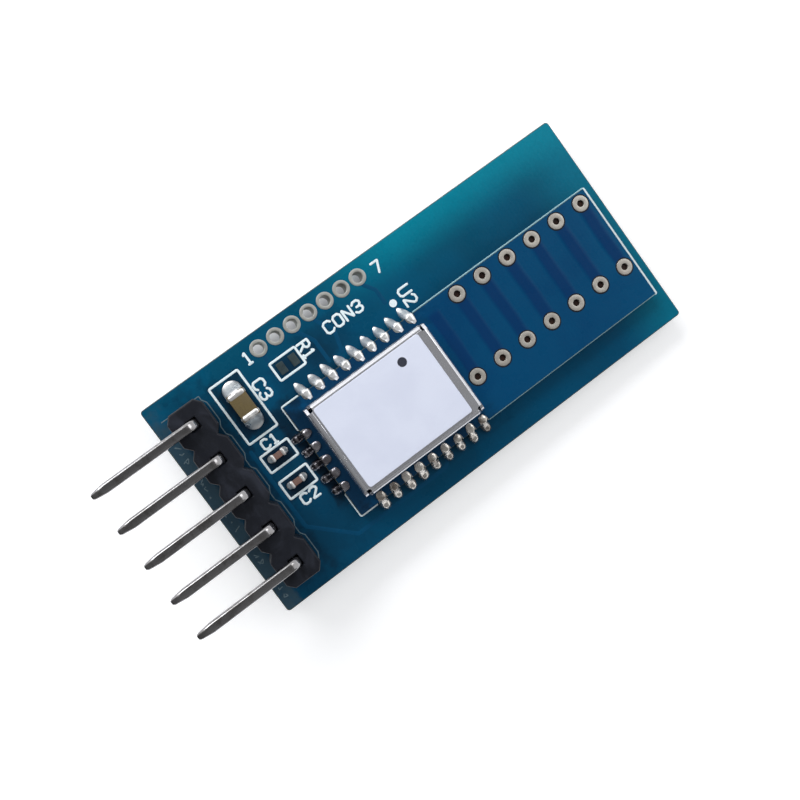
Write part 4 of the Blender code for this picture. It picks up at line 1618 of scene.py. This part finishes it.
    def build(self) -> list[Object]:
        """Builds and dresses the board.

        Returns:
            Its pieces.
        """
        top = self.box.high.z
        finishes = [CARRIER_MASK, LAMINATE, LAMINATE]
        board = show("carrier_board_body", self.board_mesh(), finishes, Slot.CARRIER, ["carrier_board"])
        width, height = self.print_width, self.print_height
        marks = laid_lines("board_print_boxes", self.print_paths(), top, width * 1.1, height, WHITE_INK)
        words = laid_lines("words", self.lettering(), top, width * 1.1, height, WHITE_INK, self.word_bend)
        side_paths = [self.path(line) for line in self.SIDE_LINES]
        sides = laid_lines("sides", side_paths, top, width * 0.85, height, THIN_INK)
        end = laid_lines("end", [self.path(self.END_LINE)], top, width * 1.8, height, WHITE_INK)
        # The print round the header takes the darker ink of painted shade.
        faint_paths = [*self.header_paths(), *self.shaded_marks()]
        faint = laid_lines("faint", faint_paths, top, width * 0.5, height / 2, SHADED_INK, self.shaded_mark_bend)
        copper = (self.track_height, TRACK_UNDER_MASK, self.track_bend)
        paths = [self.path(track) for track in self.TRACKS]
        tracks = laid_lines("tracks", paths, top, self.track_width, *copper)
        paths, low = self.lower_tracks(), self.box.low.z
        low_tracks = laid_lines("low_tracks", paths, low, self.lower_track_width, *copper)
        return [
            board,
            *self.holes(),
            show("board_print_boxes", joined("boxes", [marks, self.printed_dot()]), [WHITE_INK]),
            show("board_print_marks", words, [WHITE_INK]),
            show("board_print_sides", sides, [THIN_INK]),
            show("board_print_end", end, [WHITE_INK]),
            show("board_print_header", faint, [SHADED_INK]),
            show("board_tracks", joined("tracks", [tracks, low_tracks]), [TRACK_UNDER_MASK]),
            show("empty_lands", self.lands(), [BARE_LAND]),
        ]


@dataclass
class HeaderStrip:
    """The moulded strip, its five bent pins and their solder."""

    notch: float = 0.38 * MM
    notch_width: float = 0.9 * MM
    foot: float = 0.2 * MM
    foot_chamfer: float = 0.02 * MM
    channel: float = 1.3 * MM
    chamfer: float = 0.1 * MM
    corner: float = 0.05 * MM
    smooth_angle: float = 20.0
    pin_clearance: float = 0.03 * MM
    edge_radius: float = 0.21 * MM
    bend_steps: int = 12
    bend_clearance: float = 0.02 * MM
    tip_length: float = 1.0 * MM
    tip_side: float = 0.44 * MM
    nose: float = 0.15 * MM
    nose_side: float = 0.26 * MM
    tail_length: float = 0.3 * MM
    tail_side: float = 0.45 * MM
    solder_height: float = 0.7 * MM
    solder_root: float = 0.3 * MM
    solder_steps: int = 10
    pad_radius: float = 0.8725 * MM
    pins: list[Box] = field(init=False)
    housing: Box = field(init=False)

    def __post_init__(self) -> None:
        """Takes the strip's and the pins' room from the frame."""
        self.pins = [Box.around(name) for name in numbered("header_pin", PIN_COUNT)]
        self.housing = Box.around("header_housing")

    @property
    def pitch(self) -> float:
        """Distance between two pins."""
        return self.pins[1].centre.y - self.pins[0].centre.y

    @property
    def side(self) -> float:
        """Side of the square pin."""
        return self.pins[0].size.y

    @property
    def leg(self) -> float:
        """Where the pins' legs stand along the board."""
        return self.pins[0].high.x - self.side / 2

    def row(self, name: str, part: Mesh, finish: Finish, **values: Any) -> Mesh:
        """Repeats a part, made about the pin's leg, at every pin."""
        start = (self.leg, self.pins[0].centre.y, 0.0)
        return row_of(name, part, len(self.pins), start, (0.0, self.pitch, 0.0), finish, **values)

    def outline(self) -> Loop:
        """The strip seen from above, with a notch between the positions.

        Returns:
            Its outline.
        """
        face = self.housing.size.x / 2
        half_notch = self.notch_width / 2
        half_length = self.pitch * len(self.pins) / 2
        side = [(face - self.notch, -half_length)]
        for index in range(len(self.pins)):
            low = self.pitch * index - half_length
            high = low + self.pitch
            side += [(face, low + half_notch), (face, high - half_notch), (face - self.notch, high)]
        centre = self.housing.centre
        return [(centre.x + x, centre.y + y) for x, y in [*side, *((-x, y) for x, y in reversed(side))]]

    def housing_mesh(self) -> Mesh:
        """The strip on its small feet, with a square hole for each pin.

        Returns:
            Its mesh.
        """
        low, high = self.housing.low.z, self.housing.high.z
        half = self.side / 2 + self.pin_clearance
        holes = []
        for pin in self.pins:
            x, y = self.leg, pin.centre.y
            holes.append(softened(rectangle((x - half, y - half), (x + half, y + half)), self.corner, 2))
        outline = softened(self.outline(), self.corner, 3)
        floor = low + self.foot
        shoulder, brow = high - self.chamfer, high - self.chamfer * 0.3
        levels = [(floor, 0.0), (shoulder, 0.0), (brow, self.chamfer * 0.35), (high, self.chamfer)]
        shape = bmesh.new()
        add_slab(shape, outline, holes, levels)
        body = mesh_from("strip", shape, self.smooth_angle)
        feet = []
        for way in (-1, 1):
            near, far = self.channel / 2, self.housing.size.x / 2 - self.corner
            inner, outer = sorted((way * near, way * far))
            corners = rectangle((inner, -self.pitch * 0.28), (outer, self.pitch * 0.28))
            feet.append(slab("foot", corners, low, floor + self.foot_chamfer, self.foot_chamfer))
        return joined("header_strip", [body, self.row("feet", joined("foot_pair", feet), HEADER_PLASTIC)])

    def section(self, middle: Vector, outer: Vector, side: float) -> Ring:
        """The pin's rounded square section at one place of its path.

        Args:
            middle: The path's point.
            outer: Way towards the outside of the bend.
            side: Side of the square.

        Returns:
            The section's points.
        """
        half = side / 2
        corners = softened(rectangle((-half, -half), (half, half)), min(self.edge_radius, half * 0.7), 5)
        across = Vector((0.0, 1.0, 0.0))
        return [middle + outer * x + across * y for x, y in corners]

    def pin_mesh(self) -> Mesh:
        """One pin about its leg: up through the strip and bent over past the board's end.

        Returns:
            Its mesh.
        """
        box = self.pins[0]
        radius = box.high.z - self.housing.high.z - self.side / 2 - self.bend_clearance
        bend_start = box.high.z - self.side / 2 - radius
        reach = self.leg - box.low.x
        up = Vector((1.0, 0.0, 0.0))
        rings = [
            self.section(Vector((0.0, 0.0, box.low.z)), up, self.tail_side * 0.8),
            self.section(Vector((0.0, 0.0, box.low.z + self.tail_length * 0.3)), up, self.tail_side),
            self.section(Vector((0.0, 0.0, box.low.z + self.tail_length)), up, self.side),
        ]
        for step in range(self.bend_steps + 1):
            bent = math.radians(90 * step / self.bend_steps)
            middle = Vector((radius * (math.cos(bent) - 1), 0.0, bend_start + radius * math.sin(bent)))
            rings.append(self.section(middle, Vector((math.cos(bent), 0.0, math.sin(bent))), self.side))
        level = bend_start + radius
        over = Vector((0.0, 0.0, 1.0))
        tip = (
            (self.tip_length, self.side),
            (self.tip_length * 0.75, self.side * 0.93),
            (self.nose, self.tip_side),
            (self.nose * 0.35, (self.tip_side + self.nose_side) / 2),
            (0.0, self.nose_side),
        )
        rings += [self.section(Vector((back - reach, 0.0, level)), over, side) for back, side in tip]
        return lofted("pin", rings, PART_ANGLE)

    def joint_mesh(self) -> Mesh:
        """The solder of one pin under the board, drawn up to a hollow cone.

        Returns:
            Its mesh.
        """
        base = -OVERLAP
        root, foot = base + self.solder_root, base - self.solder_height * 1.03
        core, neck = self.side * 0.3, self.side * 0.78
        profile = [(core, root), (self.pad_radius * 0.9, root)]
        for share in shares(self.solder_steps):
            width = neck + (self.pad_radius - neck) * (1 - share) ** 2.2
            profile.append((width, base - self.solder_height * share))
        return revolved("pin_solder", [*profile, (neck * 0.9, foot), (core, foot)])

    def build(self) -> list[Object]:
        """Builds and dresses the strip.

        Returns:
            Its pieces.
        """
        pins = shaded(self.row("header_pins", self.pin_mesh(), PIN_METAL), PART_ANGLE)
        joints = self.row("header_solder", self.joint_mesh(), SOLDER, Wobble=0.05 * MM, Seed=4)
        pin_nodes, joint_nodes = numbered("header_pin", PIN_COUNT), numbered("header_joint", PIN_COUNT)
        return [
            show("header_strip", self.housing_mesh(), [HEADER_PLASTIC], Slot.HEADER, ["header_housing"]),
            show("header_pins", pins, [PIN_METAL], Slot.PIN, pin_nodes),
            show("header_solder", joints, [SOLDER], Slot.SOLDER, joint_nodes),
        ]


class Edge(Enum):
    """Edges of the module that carry solder joints, with the way that each faces in degrees."""

    UPPER = 90.0
    LOWER = -90.0
    END = 180.0

    def joint_names(self) -> list[str]:
        """The names of the edge's joints in the frame."""
        return numbered(f"edge_joint_{self.name.lower()}", 5 if self is Edge.END else 9)


@dataclass
class RadioModule:
    """The module's board with its half-round plated edge, aerial copper and plated holes."""

    chamfer: float = 0.012 * MM
    copper: float = 0.03 * MM
    notch_radius: float = 0.25 * MM
    land_width: float = 0.62 * MM
    land_inner: float = 0.5 * MM
    land_outer: float = 0.5 * MM
    land_tuck: float = 0.2 * MM
    land_corner: float = 0.14 * MM
    land_chamfer: float = 0.01 * MM
    hole: float = 0.5 * MM
    ring: float = 0.275 * MM
    hole_pitch: float = 2.0 * MM
    hole_end_inset: float = 0.7 * MM
    upper_inset: float = 0.67 * MM
    row_spacing: float = 4.95 * MM
    lower_count: int = 7
    upper_count: int = 6
    # The dark plug of painted shade in each aerial hole.
    flux_depth: float = 0.66 * MM
    flux_gap: float = 0.04 * MM
    flux_seat: float = 0.02 * MM
    flux_chamfer: float = 0.03 * MM
    gap: float = 0.08 * MM
    box: Box = field(init=False)
    carrier_top: float = field(init=False)

    def __post_init__(self) -> None:
        """Takes the module board's room from the frame."""
        self.box = Box.around("module_board")
        self.carrier_top = Box.around("carrier_board").high.z

    def joint_places(self, edge: Edge) -> list[Vector]:
        """Where the joints of an edge stand: on the module's edge, at the carrier's top.

        Args:
            edge: The edge.

        Returns:
            The joints' places.
        """
        centres = [Box.around(name).centre for name in edge.joint_names()]
        if edge is Edge.END:
            return [Vector((self.box.low.x, centre.y, self.carrier_top)) for centre in centres]
        y = self.box.high.y if edge is Edge.UPPER else self.box.low.y
        return [Vector((centre.x, y, self.carrier_top)) for centre in centres]

    def outline(self) -> Loop:
        """The module board's edge with a half-round notch at each joint.

        Returns:
            Its outline.
        """
        low, high = self.box.low, self.box.high
        radius = self.notch_radius
        loop: Loop = [(low.x, low.y)]
        for place in self.joint_places(Edge.LOWER):
            loop += arc((place.x, low.y), radius, 180.0, 0.0, 10)
        loop += [(high.x, low.y), (high.x, high.y)]
        for place in reversed(self.joint_places(Edge.UPPER)):
            loop += arc((place.x, high.y), radius, 0.0, -180.0, 10)
        loop.append((low.x, high.y))
        for place in reversed(self.joint_places(Edge.END)):
            loop += arc((low.x, place.y), radius, 90.0, -90.0, 10)
        return loop

    def hole_rows(self) -> list[tuple[int, Vector]]:
        """The lower and the upper row of plated holes.

        Returns:
            The number of holes and the first one's place, for each row.
        """
        last = self.box.high.x - self.hole_end_inset
        upper = self.box.high.y - self.upper_inset
        rows = ((self.lower_count, upper - self.row_spacing), (self.upper_count, upper))
        return [(count, Vector((last - self.hole_pitch * (count - 1), y, 0.0))) for count, y in rows]

    def along_holes(self, name: str, part: Mesh, finish: Finish) -> Mesh:
        """Repeats a part at every hole of the aerial.

        Args:
            name: Name of the new mesh.
            part: The part, about the hole's middle.
            finish: Its finish.

        Returns:
            All the copies as one mesh.
        """
        step = (self.hole_pitch, 0.0, 0.0)
        rows = [row_of("row", part, count, first, step, finish) for count, first in self.hole_rows()]
        return joined(name, rows)

    def board_mesh(self) -> Mesh:
        """The module's laminate, drilled and notched.

        Returns:
            Its mesh.
        """
        holes = []
        for count, first in self.hole_rows():
            for index in range(count):
                centre = (first.x + self.hole_pitch * index, first.y)
                holes.append(circle(centre, self.hole / 2, 28))
        return slab("module", self.outline(), self.box.low.z, self.box.high.z, self.chamfer, holes)

    def plating(self, carrier: CarrierBoard) -> Mesh:
        """The plating of all the aerial's holes."""
        ring = carrier.plated_hole(self.hole / 2, self.ring, self.box.low.z + self.copper, self.box.high.z)
        return self.along_holes("aerial_hole_plating", ring, HOLE_PLATING)

    def clearance(self) -> Mesh:
        """The bare laminate that shows between each hole's ring and the lacquer.

        Returns:
            Its mesh.
        """
        top = self.box.high.z
        low, high = top - self.copper, top + OVERLAP
        inner, outer = self.hole / 2 + self.ring * 0.8, self.hole / 2 + self.ring + self.gap
        ring = revolved("gap", [(inner, low), (outer, low), (outer, high), (inner, high)])
        return self.along_holes("clearance", ring, BARE_LAMINATE)

    def hole_shade_plug(self) -> Mesh:
        """A dark brown plug in each of the aerial's holes: painted shade, for the shade deep in the holes.

        Returns:
            Its mesh.
        """
        outline = circle((0.0, 0.0), self.hole / 2 - self.flux_gap, 20)
        floor = self.box.low.z
        plug = slab("plug", outline, floor + self.flux_seat, floor + self.flux_depth, self.flux_chamfer)
        return self.along_holes("flux", plug, DARK_PLUG)

    def module_lands(self) -> list[Mesh]:
        """The plated lands on the module's top, round each notch.

        Returns:
            A mesh for each edge.
        """
        half = self.land_width / 2
        centre = (half - self.land_inner, 0.0)
        outline = [(0.0, -half), *arc((0.0, 0.0), self.notch_radius, -90.0, -270.0, 8), (0.0, half)]
        outline += arc(centre, half, 90.0, 270.0, 8)
        top = self.box.high.z
        land = slab("land", outline, top - self.copper, top + self.copper, self.land_chamfer)
        return self.along_edges(land, LAND_METAL)

    def carrier_lands(self) -> list[Mesh]:
        """The lands on the carrier that the joints flow out on.

        Returns:
            A mesh for each edge.
        """
        half = self.land_width / 2 * 0.7
        outline = softened(rectangle((-self.land_tuck, -half), (self.land_outer, half)), self.land_corner)
        top = self.carrier_top
        land = slab("land", outline, top - self.copper, top + self.copper, self.land_chamfer)
        return self.along_edges(land, LAND_METAL)

    def along_edges(self, part: Mesh, finish: Finish) -> list[Mesh]:
        """Repeats a part at every joint of the three edges.

        Args:
            part: The part, which faces +X.
            finish: Its finish.

        Returns:
            A mesh for each edge.
        """
        rows = []
        for edge in Edge:
            places = self.joint_places(edge)
            start, step = (places[0].x, places[0].y, 0.0), places[1] - places[0]
            turn = math.radians(edge.value)
            rows.append(row_of("lands", part, len(places), start, step, finish, Turn=turn))
        return rows

    def build(self, carrier: CarrierBoard) -> list[Object]:
        """Builds and dresses the module's board.

        Args:
            carrier: The board under it.

        Returns:
            Its pieces.
        """
        lands = joined("joint_lands", [*self.module_lands(), *self.carrier_lands()])
        finishes = [MODULE_MASK, LAMINATE, HOLE_PLATING]
        return [
            show("module_board_body", self.board_mesh(), finishes, Slot.MODULE, ["module_board"]),
            show("aerial_hole_plating", self.plating(carrier), [HOLE_PLATING]),
            show("aerial_hole_flux", self.hole_shade_plug(), [DARK_PLUG]),
            show("aerial_ring_gaps", self.clearance(), [BARE_LAMINATE]),
            show("joint_lands", lands, [LAND_METAL]),
        ]


@dataclass
class EdgeSolder:
    """The solder joints round the module's edge."""

    module: RadioModule
    width: float = 0.64 * MM
    inner: float = 0.56 * MM
    spread: float = 0.78 * MM
    rise: float = 0.15 * MM
    inner_steps: int = 9
    outer_steps: int = 14
    arch_steps: int = 12
    lean: float = 9.0
    smooth_angle: float = 60.0

    def section(self, out: float, half: float, base: float, top: float) -> Ring:
        """The rounded section of a joint, with its flat side on what carries it.

        Args:
            out: Distance out from the module's edge.
            half: Half its width.
            base: Height of its flat side.
            top: Height of its crown.

        Returns:
            The section's points.
        """
        points = []
        for step in range(self.arch_steps + 1):
            angle = math.pi * step / self.arch_steps
            lift = math.sin(angle) ** 0.6
            points.append(Vector((out, half * math.cos(angle), base + (top - base) * lift)))
        return points

    def bead(self, point: float) -> Mesh:
        """One joint, which faces +X from the module's edge at the carrier's top.

        Args:
            point: How pointed its toe is, from 0 for a round bead to 1 for a spike.

        Returns:
            The joint's mesh.
        """
        drop = self.module.box.high.z - self.module.carrier_top
        half = self.width / 2
        rings = []
        for share in shares(self.inner_steps):
            lobe = math.sin(math.pi * (0.1 + 0.8 * share)) ** 0.6
            tail = 0.34 + 0.52 * share**0.8
            wide = half * (lobe * (1 - point) + tail * point)
            crown = self.rise * (lobe * (1 - point) + min(0.8, 0.15 + 2 * share) * point)
            rings.append(self.section(self.inner * (share - 1), wide, drop - OVERLAP, drop + crown))
        for step in range(1, self.outer_steps + 1):
            share = 0.995 * math.sin(math.pi / 2 * step / self.outer_steps)
            past = max(0.0, (share - 0.45) / 0.55)
            waist = min(share / 0.45, 1.0)
            ball = math.sqrt(1 - past**2) * (0.76 + 0.24 * math.sin(math.pi / 2 * waist))
            flame = (1 - share) ** 0.75 * (0.86 + share)
            wide = half * (ball * (1 - point) + flame * point) + OVERLAP
            dome = drop * math.sqrt(1 - past**2) * (1 - 0.38 * waist)
            ramp = (drop + self.rise * 0.8) * (0.5 + 0.5 * math.cos(math.pi * share**0.85))
            top = 0.02 * MM + dome * (1 - point) + ramp * point
            rings.append(self.section(self.spread * share, wide, -OVERLAP, top))
        return lofted("bead", rings, self.smooth_angle)

    def row(self, edge: Edge, finish: Finish, point: float, seed: int) -> Object:
        """The joints of one edge, each a little different.

        Args:
            edge: The edge that they are on.
            finish: Their finish.
            point: How pointed their toes are.
            seed: Number that fixes their differences.

        Returns:
            The piece.
        """
        places = self.module.joint_places(edge)
        mesh = row_of(
            "joints", self.bead(point), len(places), places[0], places[1] - places[0], finish,
            Turn=math.radians(edge.value + self.lean * point), Size_spread=0.08, Lean_spread=0.08,
            Wobble=0.07 * MM, Seed=seed,
        )
        name = f"edge_solder_{edge.name.lower()}"
        return show(name, shaded(mesh, self.smooth_angle), [finish], Slot.SOLDER, edge.joint_names())

    def build(self) -> list[Object]:
        """Builds and dresses the joints of the three edges.

        Returns:
            Its pieces.
        """
        return [
            # The lower and end joints take the darker copies of the solder: painted shade.
            self.row(Edge.UPPER, SOLDER, 1.0, 3),
            self.row(Edge.LOWER, SHADED_LOWER_SOLDER, 0.1, 11),
            self.row(Edge.END, SHADED_END_SOLDER, 0.1, 23),
        ]


@dataclass
class ShieldCan:
    """The folded can with relieved corners, the solder at its foot and the bare label on it."""

    sheet: float = 0.2 * MM
    bend: float = 0.3 * MM
    bend_steps: int = 8
    relief: float = 0.3 * MM
    seam: float = 0.06 * MM
    arch_height: float = 0.35 * MM
    arch_width: float = 2.4 * MM
    rim: float = 0.03 * MM
    smooth_angle: float = 40.0
    fillet_steps: int = 24
    label_corner: float = 0.2 * MM
    label_chamfer: float = 0.015 * MM
    dot_radius: float = 0.3 * MM
    dot_height: float = 0.006 * MM
    dot_from_aerial: float = 1.79 * MM
    dot_from_upper: float = 0.88 * MM
    can: Box = field(init=False)
    label: Box = field(init=False)

    FILLETS: ClassVar = ["can_fillet_lower", "can_fillet_upper"]

    def __post_init__(self) -> None:
        """Takes the can's and the label's room from the frame."""
        self.can = Box.around("shield_can")
        self.label = Box.around("can_label")

    def flap_rows(self, height: float) -> list[Point]:
        """The rows of a flap's points, from the top's edge to the foot.

        Args:
            height: The can's height.

        Returns:
            How far out and how high each row lies.
        """
        rows = []
        for step in range(self.bend_steps + 1):
            angle = math.radians(90 * step / self.bend_steps)
            rows.append((self.bend * (math.sin(angle) - 1), height + self.bend * (math.cos(angle) - 1)))
        below = height - self.bend
        rows += [(0.0, below - self.relief * share) for share in (0.3, 0.65, 1.0)]
        return [*rows, (0.0, self.arch_height), (0.0, 0.0)]

    def flap(
        self, shape: BMesh, reach: float, span: float, turn: float, shortened: float, arched: bool
    ) -> None:
        """Adds one bent flap of the can.

        Args:
            shape: The bmesh that is added to.
            reach: How far from the middle its outer face stands.
            span: Half the can's size along the flap.
            turn: Way that it faces, in degrees.
            shortened: How much it stops short of the corner, for its neighbour's sheet.
            arched: Whether the aerial's feed passes under it.
        """
        height = self.can.size.z
        narrow = span - self.bend - self.relief * 0.5
        wide = span - shortened - self.seam
        rotation = Matrix.Rotation(math.radians(turn), 3, "Z")
        shares = (-1.0, -0.97, -0.6, 0.0, 0.6, 0.97, 1.0)
        verts = []
        for out, level in self.flap_rows(height):
            opened = min(max((height - self.bend - level) / self.relief, 0.0), 1.0)
            half = narrow + (wide - narrow) * math.sin(opened * math.pi / 2)
            stations = [share * half for share in shares]
            if arched:
                stations[2], stations[4] = -self.arch_width / 2, self.arch_width / 2
            verts.append([shape.verts.new(rotation @ Vector((reach + out, y, level))) for y in stations])
        for row, (upper, lower) in enumerate(pairwise(verts)):
            last = row == len(verts) - 2
            for here in range(len(shares) - 1):
                if arched and last and here in (2, 3):
                    continue
                shape.faces.new((upper[here], lower[here], lower[here + 1], upper[here + 1]))

    def top_plate(self, shape: BMesh) -> None:
        """Adds the can's flat top, with its corners taken out.

        Args:
            shape: The bmesh that is added to.
        """
        half_x = self.can.size.x / 2 - self.bend
        half_y = self.can.size.y / 2 - self.bend
        nick = self.relief * 0.5
        corners: Loop = []
        for index, (way_x, way_y) in enumerate(((1, 1), (-1, 1), (-1, -1), (1, -1))):
            centre = (way_x * half_x, way_y * half_y)
            corners += arc(centre, nick, 270.0 + 90 * index, 180.0 + 90 * index, 6)
        shape.faces.new([shape.verts.new((x, y, self.can.size.z)) for x, y in corners])

    def can_mesh(self) -> Mesh:
        """The can as one sheet of real thickness.

        Returns:
            Its mesh.
        """
        shape = bmesh.new()
        half_x, half_y = self.can.size.x / 2, self.can.size.y / 2
        self.top_plate(shape)
        self.flap(shape, half_x, half_y, 0.0, 0.0, True)
        self.flap(shape, half_x, half_y, 180.0, 0.0, False)
        self.flap(shape, half_y, half_x, 90.0, self.sheet, False)
        self.flap(shape, half_y, half_x, -90.0, self.sheet, False)
        bmesh.ops.remove_doubles(shape, verts=shape.verts, dist=0.001 * MM)
        item = linked("can_sheet", mesh_from("can", shape, self.smooth_angle))
        wall = item.modifiers.new("wall", "SOLIDIFY")
        wall.thickness = self.sheet
        wall.offset = -1.0
        wall.use_even_offset = True
        soft = item.modifiers.new("rim", "BEVEL")
        soft.width = self.rim
        soft.segments = 2
        soft.limit_method = "ANGLE"
        soft.angle_limit = math.radians(50)
        flat = item.modifiers.new("flat", "WEIGHTED_NORMAL")
        flat.keep_sharp = True
        centre = self.can.centre
        return moved(applied(item), (centre.x, centre.y, self.can.low.z))

    def foot_solder(self) -> Mesh:
        """The uneven solder at the can's foot on the aerial's side.

        Returns:
            Its mesh.
        """
        runs = []
        for name in self.FILLETS:
            box = Box.around(name)
            root = box.low.x - OVERLAP
            rings = []
            for share in shares(self.fillet_steps):
                full = min(1.0, math.sin(math.pi * share) * 3.0 + 0.12)
                full *= 0.86 + 0.14 * math.sin(share * 19.0 + box.low.y / MM)
                reach, height = box.size.x * full, box.size.z * full
                y = box.low.y + box.size.y * share
                curve = [(reach * (1 - part) ** 2, height * part**2) for part in shares(6)]
                ring = [Vector((root, y, box.low.z))]
                ring += [Vector((box.low.x + x, y, box.low.z + z)) for x, z in curve]
                rings.append([*ring, Vector((root, y, box.low.z + height))])
            runs.append(lofted("foot", rings, SOLDER_ANGLE))
        return joined("can_foot_solder", runs)

    def label_mesh(self) -> Mesh:
        """The label with die-cut corners."""
        outline = softened(self.label.footprint, self.label_corner, 6)
        return slab("label", outline, self.label.low.z, self.label.high.z, self.label_chamfer)

    def dot_mesh(self) -> Mesh:
        """The dark dot that marks the module's first joint.

        Returns:
            Its mesh.
        """
        high = self.label.high
        outline = circle((high.x - self.dot_from_aerial, high.y - self.dot_from_upper), self.dot_radius)
        return slab("dot", outline, high.z - OVERLAP, high.z + self.dot_height, self.dot_height / 3)

    def build(self) -> list[Object]:
        """Builds and dresses the can and its label.

        Returns:
            Its pieces.
        """
        return [
            show("shield_can_sheet", self.can_mesh(), [CAN_SHEET], Slot.CAN, ["shield_can"]),
            show("can_foot_solder", self.foot_solder(), [SOLDER], Slot.SOLDER, self.FILLETS),
            show("can_label_paper", self.label_mesh(), [PAPER, PAPER], Slot.LABEL, ["can_label"]),
            show("can_label_dot", self.dot_mesh(), [DOT_INK, DOT_INK]),
        ]


@dataclass
class ChipCapacitor:
    """A chip capacitor soldered to the carrier board."""

    name: str
    ceramic: Finish
    upright: bool = False
    climb: float = 0.8
    ceramic_edge: float = 0.02 * MM
    body: Box = field(init=False)
    ends: Box = field(init=False)
    whole: Box = field(init=False)

    def __post_init__(self) -> None:
        """Takes the capacitor's room from the frame."""
        prefix = f"capacitor_{self.name}"
        self.body = Box.around(f"{prefix}_body")
        self.ends = Box.around(f"{prefix}_end_a", f"{prefix}_end_b")
        self.whole = Box.around(f"{prefix}_fillet_a", f"{prefix}_fillet_b", f"{prefix}_end_a")

    def along(self, size: Vector) -> Point:
        """A size as length and width of the capacitor, whichever way it lies."""
        return (size.y, size.x) if self.upright else (size.x, size.y)

    def rounded_block(
        self, low: float, high: float, width: float, base: float, top: float, radius: float
    ) -> Mesh:
        """A block from low to high along X with all its edges rounded.

        Args:
            low: Where it starts.
            high: Where it ends.
            width: Its width.
            base: Height of its underside.
            top: Height of its top.
            radius: Radius of its edges.

        Returns:
            The block's mesh.
        """
        shape = bmesh.new()
        corners = rectangle((low, -width / 2), (high, width / 2))
        add_slab(shape, corners, (), [(base, 0.0), (top, 0.0)])
        straight = math.radians(1)
        edges = [edge for edge in shape.edges if edge.calc_face_angle(0.0) > straight]
        bmesh.ops.bevel(shape, geom=edges, offset=radius, segments=4, profile=0.5, affect="EDGES")
        for face in shape.faces:
            face.material_index = 0
        return mesh_from("block", shape, PART_ANGLE)

    def fillet(self, end: float, reach: float, width: float, height: float) -> Mesh:
        """The solder that climbs one end, which faces +X.

        Args:
            end: Where the end stands.
            reach: How far the solder flows out.
            width: Its width.
            height: How far it climbs.

        Returns:
            The solder's mesh.
        """
        rings = []
        steps = 14
        arch = [math.pi * step / steps for step in range(steps + 1)]
        for step in range(steps + 1):
            share = 0.99 * step / steps
            x = end + reach * share
            half = width / 2 * (1 - 0.35 * share**3) * (1 - share**6) ** 0.5
            top = height * (0.5 + 0.5 * math.cos(math.pi * share**0.9)) + OVERLAP
            rings.append([Vector((x, half * math.cos(a), top * math.sin(a) ** 0.7)) for a in arch])
        return lofted("fillet", rings, SOLDER_ANGLE)

    def build(self) -> list[Object]:
        """Builds and dresses the capacitor.

        Returns:
            Its pieces.
        """
        prefix = f"capacitor_{self.name}"
        centre = self.ends.centre
        length, width = self.along(self.ends.size)
        whole_length, _ = self.along(self.whole.size)
        body_length, body_width = self.along(self.body.size)
        height = self.ends.size.z
        terminal, _ = self.along(Box.around(f"{prefix}_end_a").size)
        base = self.ends.low.z
        turn = 90.0 if self.upright else 0.0
        inner, half = (width - body_width) / 2, body_length / 2
        body = self.rounded_block(-half, half, body_width, inner, height - inner, self.ceramic_edge)
        first = self.rounded_block(length / 2 - terminal, length / 2, width, 0.0, height, height * 0.2)
        reach = (whole_length - length) / 2
        under = terminal * 0.35
        flow = self.fillet(length / 2 - under, reach + under, width * 0.98, height * self.climb)
        ends = joined("ends", [first, moved(first.copy(), (0.0, 0.0, 0.0), 180.0)])
        solder = joined("solder", [flow, moved(flow.copy(), (0.0, 0.0, 0.0), 180.0)])
        for mesh in (body, ends, solder):
            moved(mesh, (centre.x, centre.y, base), turn)
        end_nodes, fillet_nodes = ([f"{prefix}_{part}_{side}" for side in "ab"] for part in ("end", "fillet"))
        return [
            show(f"{prefix}_ceramic", body, [self.ceramic], Slot.CERAMIC, [f"{prefix}_body"]),
            show(f"{prefix}_metal", ends, [END_METAL], Slot.TERMINAL, end_nodes),
            show(f"{prefix}_solder", solder, [SOLDER], Slot.SOLDER, fillet_nodes),
        ]


class HiddenParts:
    """The parts under the can, whose CAD solids stay and get their finishes."""

    FINISHES: ClassVar = {
        "radio_chip": CHIP_PLASTIC,
        "crystal_radio": LID_METAL,
        "crystal_clock": LID_METAL,
        "match_coil": PALE_CERAMIC,
        "match_capacitor": BROWN_CERAMIC,
    }

    def build(self) -> list[Object]:
        """Dresses the solids.

        Returns:
            The CAD nodes.
        """
        nodes = []
        for name, finish in self.FINISHES.items():
            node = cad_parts[name]
            node.material_slots[0].material = material_of(finish)
            nodes.append(node)
        return nodes


def report(title: str, pieces: Sequence[Object]) -> None:
    """Logs each piece of a sub-assembly with its number of faces."""
    for item in pieces:
        log.info("%s: %s, %d faces", title, item.name, len(item.data.polygons))


def main() -> None:
    """Builds the object's pieces in order, then the studio round them."""
    logging.basicConfig(level=logging.INFO, format="%(message)s")
    carrier = CarrierBoard()
    module = RadioModule()
    header = HeaderStrip()
    report("carrier board", carrier.build())
    report("header", header.build())
    report("module board", module.build(carrier))
    report("edge solder", EdgeSolder(module).build())
    report("shield can", ShieldCan().build())
    report("capacitor", ChipCapacitor("c3", OLIVE_CERAMIC, upright=True, climb=1.03).build())
    report("capacitor", ChipCapacitor("c1", BROWN_CERAMIC).build())
    report("capacitor", ChipCapacitor("c2", BROWN_CERAMIC).build())
    report("under the can", HiddenParts().build())
    Studio().build(Vector((header.leg, 0.0, header.pins[0].low.z)), carrier.box)


if __name__ == "__main__":
    main()
